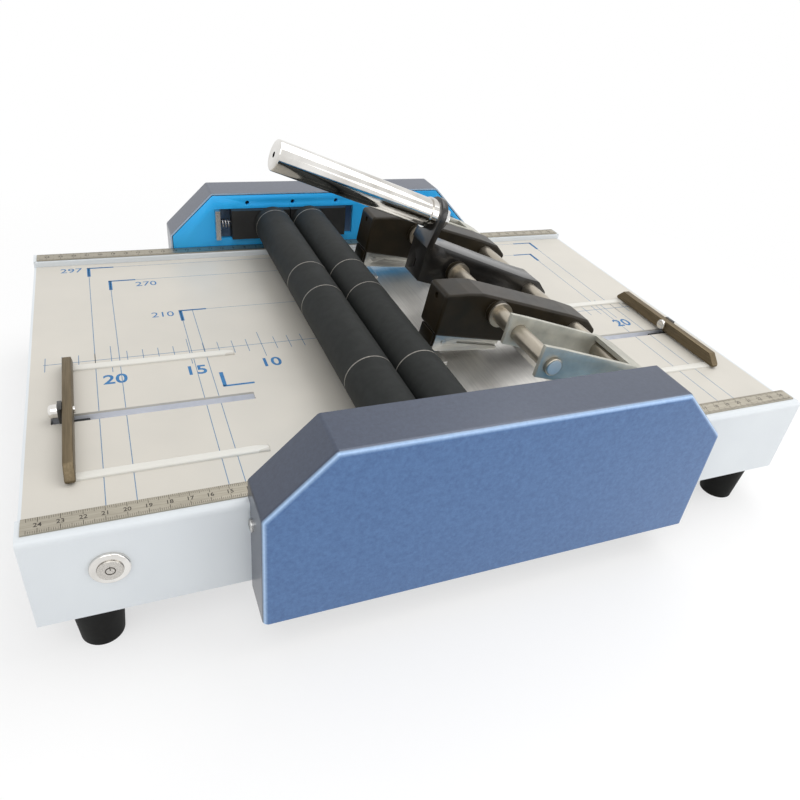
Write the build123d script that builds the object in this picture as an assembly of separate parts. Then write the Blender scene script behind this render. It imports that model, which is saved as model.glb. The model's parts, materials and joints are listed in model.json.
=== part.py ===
# Table-top creasing and booklet machine: a flat paper table on four rubber feet, two rubber
# fold rollers between side plates under blue covers, and two stapling heads on a lever frame.
# X runs along the table, -Y is the operator's side, Z is up, and Z 0 is the plane of the feet.
import os
from math import acos, atan2, cos, hypot, pi, radians, sin, sqrt, tan

from build123d import *

os.makedirs("parts", exist_ok=True)

# Casing and table
TABLE_LENGTH = 500.0
TABLE_DEPTH = 305.0
TABLE_TOP = 81.0
FOOT_HEIGHT = 28.0
SHEET = 1.5
RAIL_HEIGHT = 5.0
RAIL_WIDTH = 16.5
RAIL_EDGE_RADIUS = 3.5
RAIL_INNER_RADIUS = 1.6
LEDGE = 10.0
PAN_LIP = 12.0
EDGE_LIP = 8.0
FACE_GAP = 0.1
RULER_WIDTH = 11.0
RULER_THICKNESS = 0.8
RULER_INSET = 0.4
RULER_END_GAP = 1.0

# Feet
FOOT_TOP_RADIUS = 14.0
FOOT_BOTTOM_RADIUS = 11.5
FOOT_INSET = 28.0
FOOT_RECESS_RADIUS = 5.5
FOOT_RECESS_DEPTH = 12.0
FOOT_SCREW_RADIUS = 2.5
FOOT_SCREW_LENGTH = 22.0
FOOT_SCREW_HEAD_RADIUS = 4.5
FOOT_SCREW_HEAD = 3.0

# Gap in the table for the fold blade, and the polished plate
NIP_X = -38.4
BLADE_SLOT = 8.0
POLISHED_PLATE_RIGHT = 84.0

# Paper stops
STOP_BAR_INSET = 24.0
STOP_BAR_LENGTH = 122.0
STOP_BAR_WIDTH = 5.4
STOP_BAR_HEIGHT = 8.5
STOP_BAR_FOOT = 1.5
STOP_BAR_ROUND = 1.0
STOP_BAR_GAP = 0.2
LEFT_STOP_Y = -66.0
RIGHT_STOP_Y = -48.0
STOP_SLOT_INSET = 14.0
STOP_SLOT_LENGTH = 118.0
STOP_SLOT_WIDTH = 8.0
RIB_OFFSET = 55.0
RIB_WIDTH = 6.0
RIB_HEIGHT = 1.4
RIB_INSET = 22.0
RIB_LENGTH = 107.0
RIB_ROUND = 1.1
CHANNEL_WALL = 1.5
CHANNEL_DEPTH = 10.0
SLIDER_LENGTH = 16.0
SLIDER_HEIGHT = 6.0
SLIDER_PLAY = 0.15
SLIDER_NECK = 5.0
TAB_WIDTH = 9.0
TAB_THICKNESS = 2.5
STOP_SCREW_RADIUS = 2.0
STOP_KNOB_RADIUS = 4.2
STOP_KNOB_LENGTH = 5.0
STOP_SCREW_HEIGHT = 4.6

# The rulers show zero at X 0, and the covers and side plates are centred on it
COVER_HALF_LENGTH = 142.0
COVER_CHAMFER_X = 36.0
COVER_CHAMFER_Z = 35.5
COVER_TOP = 133.5
COVER_BOTTOM = 24.0
COVER_DEPTH = 33.5
COVER_WALL = 1.2
COVER_PROFILE_RADIUS = 3.0
COVER_EDGE_RADIUS = 3.4
COVER_GAP = 0.3
COVER_PLATE_GAP = 0.7
COVER_SCREW_Z = 76.0
COVER_SCREW_OUT = 6.0
COVER_SCREW_RADIUS = 2.0
COVER_SCREW_HEAD_RADIUS = 3.6
COVER_SCREW_HEAD = 1.8
COVER_SCREW_LENGTH = 7.0
BRACKET_THICKNESS = 1.6
BRACKET_REACH = 20.0
BRACKET_DEPTH = 14.0
BRACKET_HALF_HEIGHT = 5.5

# Side plates
PLATE_THICKNESS = 3.0
PLATE_FOOT_INSET = 6.0
PLATE_FOOT_BOTTOM = 47.0
WINDOW_INSET = 38.0
WINDOW_RIGHT = 22.0
WINDOW_BOTTOM = 94.0
WINDOW_TOP = 120.0
PLATE_HOLE_RADIUS = 1.8
PLATE_HOLE_PITCH = 40.4
PLATE_HOLE_FIRST_X = -75.5
PLATE_HOLE_COUNT = 4
PLATE_HOLE_DROP = 8.5

# Rollers
ROLLER_RADIUS = 16.2
ROLLER_GAP = 0.3
ROLLER_AXIS_Z = 107.0
ROLLER_HALF_LENGTH = 158.0
ROLLER_CORE_RADIUS = 12.0
ROLLER_JOURNAL_RADIUS = 5.0
RING_RADIUS = 16.1
RING_WIDTH = 0.6
RING_PLACES = (-102.0, -2.5, 38.0, 149.0)
BEARING_CLEARANCE = 0.05
ROLLER_END_GAP = 1.0
BLOCK_PROUD = 3.5
BLOCK_GAP = 1.0
BLOCK_PLAY = 0.1
BLOCK_FLANGE = 3.0
SEAT_LENGTH = 4.0
SPRING_SPACE = 10.0
SPRING_RADIUS = 3.6
SPRING_WIRE = 0.6
SPRING_CURLS = 3

# Gears and the roller motor
ROLLER_GEAR_TEETH = 20
ROLLER_GEAR_WIDTH = 6.0
ROLLER_GEAR_GAP = 1.5
DRIVE_GEAR_TEETH = 46
MOTOR_GEAR_TEETH = 42
DRIVE_MODULE = 1.0
DRIVE_GEAR_WIDTH = 5.0
DRIVE_GEAR_GAP = 2.5
BACKLASH = 0.16
PRESSURE_ANGLE = radians(20.0)
MOTOR_Z = 66.0
MOTOR_RADIUS = 12.0
MOTOR_LENGTH = 60.0
MOTOR_SHAFT_RADIUS = 3.0
MOTOR_SHAFT_DEPTH = 12.0
SHAFT_END = 2.0

# Fold blade and its lift
BLADE_THICKNESS = 1.0
BLADE_HALF_LENGTH = 148.0
BLADE_REST_DROP = 3.0
BLADE_HEIGHT = 46.0
CARRIER_WIDTH = 11.0
CARRIER_HEIGHT = 12.0
CARRIER_HALF_LENGTH = 140.0
POST_RADIUS = 3.5
POST_Y = 115.0
POST_TOP = 69.0
POST_FLANGE_RADIUS = 7.0
POST_FLANGE = 2.0
RACK_WIDTH = 10.0
RACK_HEIGHT = 26.0
RACK_BACK = 8.75
RACK_CLEARANCE = 2.0
PINION_TEETH = 20
LIFT_MOTOR_RADIUS = 11.0
LIFT_MOTOR_LENGTH = 50.0
LIFT_MOTOR_Z = 54.0
LIFT_MOTOR_GAP = 1.0

# Stapling frame, drawn with the heads pressed down and then raised by REST_TILT
PIVOT_INSET = 18.0
PIVOT_Z = 100.0
REST_TILT = 11.0
SHAFT_RADIUS = 6.0
PRESS_SHAFT_BACK = 72.5
PRESS_SHAFT_UP = 7.0
PRESS_SHAFT_FRONT_END = -135.5
PRESS_SHAFT_REAR_END = 144.0
BORE_CLEARANCE = 0.05
CIRCLIP_RADIUS = 8.5
CIRCLIP_WIDTH = 1.2
BUSH_RADIUS = 9.0
BUSH_LENGTH = 6.0
FRONT_ARM_Y = -110.0
FRONT_ARM_WIDTH = 45.0
REAR_ARM_Y = 127.0
REAR_ARM_WIDTH = 25.0
ARM_PLATE = 3.0
ARM_NOSE_AHEAD = 9.5
ARM_NOSE_UP = 20.0
ARM_NOSE_DOWN = 2.0
ARM_NOSE_FLAT = 14.0
ARM_NOSE_SLOPE = 1.5
ARM_NOSE_LEAN = 1.0
ARM_SHOULDER_UP = 10.0
ARM_SHOULDER_AHEAD = 2.0
ARM_TAIL_BACK = 14.0
ARM_TAIL_UP = 5.0
ARM_TAIL_REACH = 20.0
ARM_BELLY_DOWN = 9.5
ARM_BELLY_IN = 2.0
ARM_WEB_AHEAD = 6.0
FRONT_HEAD_Y = -46.0
REAR_HEAD_Y = 100.0
HEAD_WIDTH = 27.0
HEAD_NOSE_BACK = 115.0
HEAD_BOTTOM_DOWN = 16.0
HEAD_NOSE_UP = 15.0
HEAD_HUMP_BACK = 88.0
HEAD_HUMP_UP = 19.0
HEAD_NOSE_FLAT = 16.0
HEAD_NOSE_RISE = 3.0
HEAD_HUMP_FLAT = 35.0
HEAD_HUMP_DROP = 3.5
HEAD_TAIL_AHEAD = 6.0
HEAD_TAIL_UP = 10.5
HEAD_TAIL_BACK = 12.0
HEAD_TAIL_REACH = 22.0
HEAD_BELLY_DOWN = 11.0
HEAD_BELLY_AHEAD = 45.0
HEAD_JAW_BACK = 60.0
HEAD_CORNER = 3.0
HEAD_SHELL = 2.2
HEAD_ROUND = 2.0
HEAD_ROUND_RISE = 3.0
HEAD_HOLLOW_BACK = 61.0
HEAD_SLOT_RADIUS = 2.2
HEAD_SLOT_DROP = 6.0
NOSE_BLOCK_LENGTH = 7.0
MAGAZINE_LENGTH = 51.0
MAGAZINE_WIDTH = 13.0
MAGAZINE_WALL = 1.5
MAGAZINE_FLOOR = 2.0
MAGAZINE_BODY_LENGTH = 52.0
MAGAZINE_BODY_WIDTH = 22.0
MAGAZINE_BODY_DROP = 13.0
MAGAZINE_BODY_SLOPE = 6.0
MAGAZINE_SLOT_START = 18.0
MAGAZINE_SLOT_DROP = 3.0
MAGAZINE_SLOT_HEIGHT = 2.0
MAGAZINE_SLOT_DEPTH = 1.5
MAGAZINE_SCREW_BACK = 8.0
MAGAZINE_SCREW_DROP = 5.5
MAGAZINE_SCREW_RADIUS = 2.4
MAGAZINE_SCREW_PROUD = 0.6
HEAD_PLATE_THICKNESS = 2.2
HEAD_PLATE_SET = 0.3
HEAD_PLATE_WIDTH = 19.0
HEAD_PLATE_DROP = 10.0
ANVIL_LENGTH = 16.0
ANVIL_WIDTH = 22.0
ANVIL_THICKNESS = 1.6
ANVIL_GROOVE_RADIUS = 1.2
ANVIL_GROOVE_UP = 0.6
ANVIL_GROOVE_OFFSET = 3.2
ANVIL_GROOVE_HALF = 2.0

# Lever and handle
LEVER_Y = 21.0
LEVER_WIDTH = 26.0
LEVER_PLATE = 3.0
LEVER_FRONT_BACK = 103.0
LEVER_FRONT_UP = 28.0
LEVER_FRONT_DOWN = 4.0
LEVER_FRONT_FLAT = 12.0
LEVER_FRONT_SLOPE = 3.0
LEVER_TAIL_AHEAD = 9.0
LEVER_TAIL_UP = 10.0
LEVER_TAIL_BACK = 8.0
LEVER_TAIL_REACH = 20.0
LEVER_BELLY_DOWN = 9.0
LEVER_BELLY_AHEAD = 60.0
LEVER_CORNER = 3.0
LEVER_SLOT_WIDTH = 2.0
LEVER_SLOT_HEIGHT = 7.0
LEVER_SLOT_UP = 2.0
LUG_WIDTH = 27.0
LUG_THICKNESS = 5.0
LUG_BELOW = 22.0
HANDLE_START_BACK = 100.5
HANDLE_START_UP = 44.4
HANDLE_SLOPE = 9.3
HANDLE_RADIUS = 10.4
HANDLE_WALL = 1.5
HANDLE_LENGTH = 127.0
HANDLE_COLLAR_RADIUS = 11.4
HANDLE_COLLAR_LENGTH = 6.0
HANDLE_STUD_RADIUS = 5.0
HANDLE_STUD_CLEARANCE = 0.05
HANDLE_CAP_HOLE_RADIUS = 2.0
HANDLE_NUT_RADIUS = 8.5
HANDLE_NUT_HEIGHT = 6.0

# Return spring on the pivot shaft, inside the rear cover
RETURN_SPRING_RADIUS = 9.0
RETURN_SPRING_WALL = 2.0
RETURN_SPRING_LENGTH = 14.0
RETURN_SPRING_LEG = 30.0

# Power button, mains inlet and control board
BUTTON_INSET = 38.3
BUTTON_Z = 60.7
BUTTON_RING_RADIUS = 10.0
BUTTON_RING_HEIGHT = 2.2
BUTTON_BARREL_RADIUS = 8.0
BUTTON_BARREL_LENGTH = 20.0
BUTTON_CAP_RADIUS = 6.4
BUTTON_CAP_PROUD = 1.0
BUTTON_CAP_DEPTH = 6.0
BUTTON_TRAVEL = 1.5
BUTTON_PLAY = 0.1
INLET_INSET = 50.0
INLET_Z = 54.0
INLET_WIDTH = 27.0
INLET_HEIGHT = 20.0
INLET_DEPTH = 22.0
INLET_FLANGE = 4.0
INLET_FLANGE_THICKNESS = 2.0
INLET_WALL = 2.0
INLET_PIN_RADIUS = 1.0
INLET_PIN_PITCH = 7.0
INLET_PIN_STEP = 2.0
BOARD_INSET = 100.0
BOARD_Y = 60.0
BOARD_LENGTH = 110.0
BOARD_WIDTH = 70.0
BOARD_THICKNESS = 1.6
STANDOFF_RADIUS = 3.0
STANDOFF_HEIGHT = 8.0
TRANSFORMER_LENGTH = 30.0
TRANSFORMER_WIDTH = 28.0
TRANSFORMER_HEIGHT = 24.0
TRANSFORMER_X = -30.0
RELAY_LENGTH = 20.0
RELAY_HEIGHT = 10.0
RELAY_X = 15.0
CAPACITOR_RADIUS = 8.0
CAPACITOR_HEIGHT = 22.0
CAPACITOR_X = 40.0
CAPACITOR_Y = 12.0

# Places worked out from the sizes above
HALF_LENGTH = TABLE_LENGTH / 2
INNER_Y = TABLE_DEPTH / 2
OUTER_Y = INNER_Y + RAIL_WIDTH
RAIL_TOP = TABLE_TOP + RAIL_HEIGHT
TABLE_UNDER = TABLE_TOP - SHEET
FLOOR_TOP = FOOT_HEIGHT + SHEET
INSIDE_X = HALF_LENGTH - SHEET
FOOT_X = HALF_LENGTH - FOOT_INSET
FOOT_Y = OUTER_Y - FOOT_TOP_RADIUS
STOP_BAR_X = HALF_LENGTH - STOP_BAR_INSET
STOP_SLOT_OUTER_X = HALF_LENGTH - STOP_SLOT_INSET
STOP_SLOT_INNER_X = STOP_SLOT_OUTER_X - STOP_SLOT_LENGTH
RIB_OUTER_X = HALF_LENGTH - RIB_INSET
RIB_INNER_X = RIB_OUTER_X - RIB_LENGTH
BUTTON_X = BUTTON_INSET - HALF_LENGTH
INLET_X = HALF_LENGTH - INLET_INSET
BOARD_X = HALF_LENGTH - BOARD_INSET
PLATE_OUT_Y = OUTER_Y - SHEET
PLATE_IN_Y = PLATE_OUT_Y - PLATE_THICKNESS
COVER_IN_Y = PLATE_IN_Y
COVER_OUT_Y = COVER_IN_Y + COVER_DEPTH
PLATE_FOOT_HALF_LENGTH = COVER_HALF_LENGTH - PLATE_FOOT_INSET
WINDOW_LEFT = WINDOW_INSET - COVER_HALF_LENGTH
BLOCK_LEFT_END = WINDOW_LEFT + SEAT_LENGTH + SPRING_SPACE
PIVOT_X = COVER_HALF_LENGTH - PIVOT_INSET
BLOCK_INNER_Y = ROLLER_HALF_LENGTH + ROLLER_END_GAP
BLOCK_OUTER_Y = PLATE_OUT_Y + BLOCK_PROUD
ROLLER_GEAR_IN = BLOCK_OUTER_Y + ROLLER_GEAR_GAP
DRIVE_GEAR_IN = ROLLER_GEAR_IN + ROLLER_GEAR_WIDTH + DRIVE_GEAR_GAP
LEFT_TABLE_EDGE = NIP_X - BLADE_SLOT / 2
POLISHED_PLATE_LEFT = NIP_X + BLADE_SLOT / 2
ROLLER_SPACING = 2 * ROLLER_RADIUS + ROLLER_GAP
LEFT_ROLLER_X = NIP_X - ROLLER_SPACING / 2
RIGHT_ROLLER_X = NIP_X + ROLLER_SPACING / 2
ROLLER_GEAR_MODULE = ROLLER_SPACING / ROLLER_GEAR_TEETH
GEAR_DISTANCE = DRIVE_MODULE * (DRIVE_GEAR_TEETH + MOTOR_GEAR_TEETH) / 2
MOTOR_X = RIGHT_ROLLER_X + sqrt(GEAR_DISTANCE**2 - (ROLLER_AXIS_Z - MOTOR_Z) ** 2)
ROLLER_SHAFT_END = DRIVE_GEAR_IN + DRIVE_GEAR_WIDTH + SHAFT_END


# Simple solids
def box(x0, x1, y0, y1, z0, z1):
    return Pos((x0 + x1) / 2, (y0 + y1) / 2, (z0 + z1) / 2) * Box(x1 - x0, y1 - y0, z1 - z0)


def rod_x(y, z, radius, x0, x1):
    return Pos((x0 + x1) / 2, y, z) * Rot(0, 90, 0) * Cylinder(radius, x1 - x0)


def rod_y(x, z, radius, y0, y1):
    return Pos(x, (y0 + y1) / 2, z) * Rot(90, 0, 0) * Cylinder(radius, y1 - y0)


def rod_z(x, y, radius, z0, z1):
    return Pos(x, y, (z0 + z1) / 2) * Cylinder(radius, z1 - z0)


def outline(points, rounded=(), radius=0.0):
    """Flat face through the points, with the listed corners rounded."""
    face = make_face(Polyline(*points, close=True))
    if rounded:
        corners = []
        for vertex in face.vertices():
            if any(hypot(vertex.X - x, vertex.Y - y) < 0.01 for x, y in rounded):
                corners.append(vertex)
        face = fillet(corners, radius)
    return face


def slab_xz(face, y0, y1):
    """Outline drawn in X and Z, made solid from y0 to y1."""
    plane = Plane(origin=(0, y1, 0), x_dir=(1, 0, 0), z_dir=(0, -1, 0))
    return extrude(plane * face, amount=y1 - y0)


def slab_yz(face, x0, x1):
    """Outline drawn in Y and Z, made solid from x0 to x1."""
    plane = Plane(origin=(x0, 0, 0), x_dir=(0, 1, 0), z_dir=(1, 0, 0))
    return extrude(plane * face, amount=x1 - x0)


def rear(shape):
    """The same piece on the far side of the machine."""
    return mirror(shape, about=Plane.XZ)


def group(shapes):
    """Separate solids that share one node."""
    return Compound(children=[solid for shape in shapes for solid in shape.solids()])


def inset(points, distance):
    """Move every edge of a clockwise convex outline inward by the distance."""
    moved = []
    count = len(points)
    for index in range(count):
        before = points[index - 1]
        here = points[index]
        after = points[(index + 1) % count]
        angle_in = atan2(here[1] - before[1], here[0] - before[0])
        angle_out = atan2(after[1] - here[1], after[0] - here[0])
        middle = (angle_in + angle_out) / 2
        if abs(angle_in - angle_out) > pi:
            middle += pi
        reach = distance / cos((angle_in - angle_out) / 2)
        if abs(angle_in - angle_out) > pi:
            reach = -reach
        moved.append((here[0] + reach * sin(middle), here[1] - reach * cos(middle)))
    return moved


# Casing
def base_pan():
    half_y = OUTER_Y - SHEET
    floor = box(-INSIDE_X, INSIDE_X, -half_y, half_y, FOOT_HEIGHT, FLOOR_TOP)
    front_lip = box(-INSIDE_X, INSIDE_X, -half_y, -half_y + SHEET, FLOOR_TOP, FLOOR_TOP + PAN_LIP)
    pan = floor + front_lip + rear(front_lip)
    for x in (-FOOT_X, FOOT_X):
        for y in (-FOOT_Y, FOOT_Y):
            pan -= rod_z(x, y, FOOT_SCREW_RADIUS + BORE_CLEARANCE, FOOT_HEIGHT - 1, FLOOR_TOP + 1)
    return pan


def casing_panel():
    """Front wall, rounded over into the raised rail, then down behind the tables' edges."""
    top_corner = (-OUTER_Y, RAIL_TOP)
    inner_corner = (-OUTER_Y + SHEET, RAIL_TOP - SHEET)
    rail_corner = (-INNER_Y, RAIL_TOP)
    points = [
        (-OUTER_Y, FOOT_HEIGHT),
        top_corner,
        rail_corner,
        (-INNER_Y, TABLE_UNDER - SHEET),
        (-INNER_Y - SHEET, TABLE_UNDER - SHEET),
        (-INNER_Y - SHEET, RAIL_TOP - SHEET),
        inner_corner,
        (-OUTER_Y + SHEET, FOOT_HEIGHT),
    ]
    face = outline(points, [top_corner], RAIL_EDGE_RADIUS)
    face = round_corner(face, inner_corner, RAIL_EDGE_RADIUS - SHEET)
    face = round_corner(face, rail_corner, RAIL_INNER_RADIUS)
    panel = slab_yz(face, -INSIDE_X, INSIDE_X)
    plate_slot = box(
        -PLATE_FOOT_HALF_LENGTH - FACE_GAP,
        PLATE_FOOT_HALF_LENGTH + FACE_GAP,
        -PLATE_OUT_Y,
        -PLATE_IN_Y + FACE_GAP,
        RAIL_TOP - SHEET - RAIL_EDGE_RADIUS,
        RAIL_TOP + 1,
    )
    return panel - plate_slot


def round_corner(face, corner, radius):
    nearest = min(face.vertices(), key=lambda v: hypot(v.X - corner[0], v.Y - corner[1]))
    return fillet([nearest], radius)


def end_panel(side):
    """End wall up to the tables, with a cap over the end of each rail."""
    wall = box(INSIDE_X, HALF_LENGTH, -OUTER_Y, OUTER_Y, FOOT_HEIGHT, TABLE_TOP)
    outer_corner = (-OUTER_Y, RAIL_TOP)
    points = [(-OUTER_Y, TABLE_TOP), outer_corner, (-INNER_Y, RAIL_TOP), (-INNER_Y, TABLE_TOP)]
    cap = slab_yz(outline(points, [outer_corner], RAIL_EDGE_RADIUS), INSIDE_X, HALF_LENGTH)
    panel = group([wall, cap, rear(cap)])
    if side < 0:
        panel = mirror(panel, about=Plane.YZ)
    return panel


def ledge_strips():
    """Strips under the edges of the tables, open where the fold blade rises."""
    bottom = TABLE_UNDER - SHEET
    near_left = box(-INSIDE_X, LEFT_TABLE_EDGE, -INNER_Y, -INNER_Y + LEDGE, bottom, TABLE_UNDER)
    near_right = box(POLISHED_PLATE_LEFT, INSIDE_X, -INNER_Y, -INNER_Y + LEDGE, bottom, TABLE_UNDER)
    end_y = INNER_Y - LEDGE - FACE_GAP
    end = box(INSIDE_X - LEDGE, INSIDE_X, -end_y, end_y, bottom, TABLE_UNDER)
    return [near_left, near_right, rear(near_left), rear(near_right), end, mirror(end, about=Plane.YZ)]


def stop_rib(y):
    rib = box(
        RIB_INNER_X, RIB_OUTER_X, y - RIB_WIDTH / 2, y + RIB_WIDTH / 2, TABLE_TOP, TABLE_TOP + RIB_HEIGHT
    )
    return fillet(rib.faces().sort_by(Axis.Z)[-1].edges(), RIB_ROUND)


def table_sheet(inner_x, stop_y):
    """Right-hand table; the left one is its mirror image with its own sizes."""
    half_y = INNER_Y - FACE_GAP
    sheet = box(inner_x, INSIDE_X, -half_y, half_y, TABLE_UNDER, TABLE_TOP)
    sheet += stop_rib(stop_y - RIB_OFFSET) + stop_rib(stop_y + RIB_OFFSET)
    sheet -= box(
        STOP_SLOT_INNER_X,
        STOP_SLOT_OUTER_X,
        stop_y - STOP_SLOT_WIDTH / 2,
        stop_y + STOP_SLOT_WIDTH / 2,
        TABLE_UNDER - 1,
        TABLE_TOP + 1,
    )
    return sheet


def down_lip(x0, x1):
    """Folded edge that stiffens a sheet beside the blade gap."""
    half_y = INNER_Y - LEDGE - FACE_GAP
    return box(x0, x1, -half_y, half_y, TABLE_UNDER - EDGE_LIP, TABLE_UNDER)


def left_table():
    sheet = mirror(table_sheet(-LEFT_TABLE_EDGE, LEFT_STOP_Y), about=Plane.YZ)
    return sheet + down_lip(LEFT_TABLE_EDGE - SHEET, LEFT_TABLE_EDGE)


def right_table():
    inner_x = POLISHED_PLATE_RIGHT + FACE_GAP
    return table_sheet(inner_x, RIGHT_STOP_Y) + down_lip(inner_x, inner_x + SHEET)


def polished_plate():
    half_y = INNER_Y - FACE_GAP
    sheet = box(POLISHED_PLATE_LEFT, POLISHED_PLATE_RIGHT, -half_y, half_y, TABLE_UNDER, TABLE_TOP)
    left_lip = down_lip(POLISHED_PLATE_LEFT, POLISHED_PLATE_LEFT + SHEET)
    left_lip -= box(
        POLISHED_PLATE_LEFT - 1,
        POLISHED_PLATE_LEFT + SHEET + 1,
        -RACK_CLEARANCE,
        RACK_WIDTH + RACK_CLEARANCE,
        0,
        TABLE_UNDER,
    )
    right_lip = down_lip(POLISHED_PLATE_RIGHT - SHEET, POLISHED_PLATE_RIGHT)
    return sheet + left_lip + right_lip


def rulers():
    length = INSIDE_X - RULER_END_GAP
    near_y = -INNER_Y - RULER_INSET
    strip = box(-length, length, near_y - RULER_WIDTH, near_y, RAIL_TOP, RAIL_TOP + RULER_THICKNESS)
    return group([strip, rear(strip)])


def rubber_feet():
    feet = []
    for x in (-FOOT_X, FOOT_X):
        for y in (-FOOT_Y, FOOT_Y):
            foot = Pos(x, y, FOOT_HEIGHT / 2) * Cone(FOOT_BOTTOM_RADIUS, FOOT_TOP_RADIUS, FOOT_HEIGHT)
            foot -= rod_z(x, y, FOOT_RECESS_RADIUS, -1, FOOT_RECESS_DEPTH)
            foot -= rod_z(x, y, FOOT_SCREW_RADIUS + BORE_CLEARANCE, 0, FOOT_HEIGHT + 1)
            feet.append(foot)
    return group(feet)


def foot_screws():
    screws = []
    head_top = FOOT_RECESS_DEPTH
    for x in (-FOOT_X, FOOT_X):
        for y in (-FOOT_Y, FOOT_Y):
            head = rod_z(x, y, FOOT_SCREW_HEAD_RADIUS, head_top - FOOT_SCREW_HEAD, head_top)
            shank = rod_z(x, y, FOOT_SCREW_RADIUS, head_top, head_top + FOOT_SCREW_LENGTH)
            nut = rod_z(x, y, FOOT_SCREW_HEAD_RADIUS, FLOOR_TOP, FLOOR_TOP + FOOT_SCREW_HEAD)
            screws.append(head + shank + nut)
    return group(screws)


# Side plates and covers
def cover_points(bottom):
    shoulder = COVER_TOP - COVER_CHAMFER_Z
    top_x = COVER_HALF_LENGTH - COVER_CHAMFER_X
    return [
        (-COVER_HALF_LENGTH, bottom),
        (-COVER_HALF_LENGTH, shoulder),
        (-top_x, COVER_TOP),
        (top_x, COVER_TOP),
        (COVER_HALF_LENGTH, shoulder),
        (COVER_HALF_LENGTH, bottom),
    ]


def side_plate():
    upper = inset(cover_points(RAIL_TOP), COVER_WALL + COVER_PLATE_GAP)
    upper[0] = (upper[0][0], RAIL_TOP)
    upper[-1] = (upper[-1][0], RAIL_TOP)
    foot = [
        (PLATE_FOOT_HALF_LENGTH, RAIL_TOP),
        (PLATE_FOOT_HALF_LENGTH, PLATE_FOOT_BOTTOM),
        (-PLATE_FOOT_HALF_LENGTH, PLATE_FOOT_BOTTOM),
        (-PLATE_FOOT_HALF_LENGTH, RAIL_TOP),
    ]
    plate = slab_xz(outline(upper + foot), -PLATE_OUT_Y, -PLATE_IN_Y)
    y0 = -PLATE_OUT_Y - 1
    y1 = -PLATE_IN_Y + 1
    plate -= box(WINDOW_LEFT, WINDOW_RIGHT, y0, y1, WINDOW_BOTTOM, WINDOW_TOP)
    hole_z = COVER_TOP - PLATE_HOLE_DROP
    for index in range(PLATE_HOLE_COUNT):
        x = PLATE_HOLE_FIRST_X + index * PLATE_HOLE_PITCH
        plate -= rod_y(x, hole_z, PLATE_HOLE_RADIUS, y0, y1)
    plate -= rod_y(PIVOT_X, PIVOT_Z, SHAFT_RADIUS + BORE_CLEARANCE, y0, y1)
    return plate


def front_side_plate():
    shaft_hole = rod_y(
        MOTOR_X, MOTOR_Z, MOTOR_SHAFT_RADIUS + SHAFT_END, -PLATE_OUT_Y - 1, -PLATE_IN_Y + 1
    )
    return side_plate() - shaft_hole


def front_panel():
    panel = casing_panel()
    panel -= rod_y(MOTOR_X, MOTOR_Z, MOTOR_SHAFT_RADIUS + SHAFT_END, -OUTER_Y - 1, -OUTER_Y + SHEET + 1)
    return panel - rod_y(BUTTON_X, BUTTON_Z, BUTTON_BARREL_RADIUS + FACE_GAP, -OUTER_Y - 1, -PLATE_IN_Y)


def rear_panel():
    panel = rear(casing_panel())
    hole = box(
        INLET_X - INLET_WIDTH / 2 - FACE_GAP,
        INLET_X + INLET_WIDTH / 2 + FACE_GAP,
        OUTER_Y - SHEET - 1,
        OUTER_Y + 1,
        INLET_Z - INLET_HEIGHT / 2 - FACE_GAP,
        INLET_Z + INLET_HEIGHT / 2 + FACE_GAP,
    )
    return panel - hole


def cover_screw_y():
    return OUTER_Y + COVER_SCREW_OUT


def front_cover():
    points = cover_points(COVER_BOTTOM)
    shell = slab_xz(outline(points, points[1:-1], COVER_PROFILE_RADIUS), -COVER_OUT_Y, -COVER_IN_Y)
    front = shell.faces().sort_by(Axis.Y)[0]
    edges = [edge for edge in front.edges() if edge.center().Z > COVER_BOTTOM + 1]
    shell = fillet(edges, COVER_EDGE_RADIUS)
    hollow_points = inset(points, COVER_WALL)
    hollow_points[0] = (hollow_points[0][0], COVER_BOTTOM - 1)
    hollow_points[-1] = (hollow_points[-1][0], COVER_BOTTOM - 1)
    hollow = slab_xz(
        outline(hollow_points, hollow_points[1:-1], COVER_PROFILE_RADIUS - COVER_WALL),
        -COVER_OUT_Y + COVER_WALL,
        -COVER_IN_Y + 1,
    )
    inner_front = hollow.faces().sort_by(Axis.Y)[0]
    edges = [edge for edge in inner_front.edges() if edge.center().Z > COVER_BOTTOM]
    hollow = fillet(edges, COVER_EDGE_RADIUS - COVER_WALL)
    wide = COVER_HALF_LENGTH + 1
    casing_space = box(
        -wide, wide, -OUTER_Y - COVER_GAP, -COVER_IN_Y + 1, COVER_BOTTOM - 1, RAIL_TOP + COVER_GAP
    )
    ruler_space = box(
        -wide, wide, -INNER_Y - RULER_INSET - RULER_WIDTH - COVER_GAP, -COVER_IN_Y + 1, 0, RAIL_TOP + 1
    )
    cover = shell - hollow - casing_space - ruler_space
    reach = COVER_HALF_LENGTH + 1
    cover -= rod_x(-cover_screw_y(), COVER_SCREW_Z, COVER_SCREW_RADIUS + BORE_CLEARANCE, -reach, reach)
    return cover


def casing_brackets():
    """Ledge strips for the tables, and small angles outside that take the cover screws."""
    end_x = COVER_HALF_LENGTH - COVER_WALL
    z0 = COVER_SCREW_Z - BRACKET_HALF_HEIGHT
    z1 = COVER_SCREW_Z + BRACKET_HALF_HEIGHT
    wall_leg = box(end_x - BRACKET_REACH, end_x, -OUTER_Y - BRACKET_THICKNESS, -OUTER_Y, z0, z1)
    screw_leg = box(end_x - BRACKET_THICKNESS, end_x, -OUTER_Y - BRACKET_DEPTH, -OUTER_Y, z0, z1)
    hole = rod_x(-cover_screw_y(), COVER_SCREW_Z, COVER_SCREW_RADIUS + BORE_CLEARANCE, 0, HALF_LENGTH)
    bracket = wall_leg + screw_leg - hole
    other = mirror(bracket, about=Plane.YZ)
    return group([bracket, other, rear(bracket), rear(other)] + ledge_strips())


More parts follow.
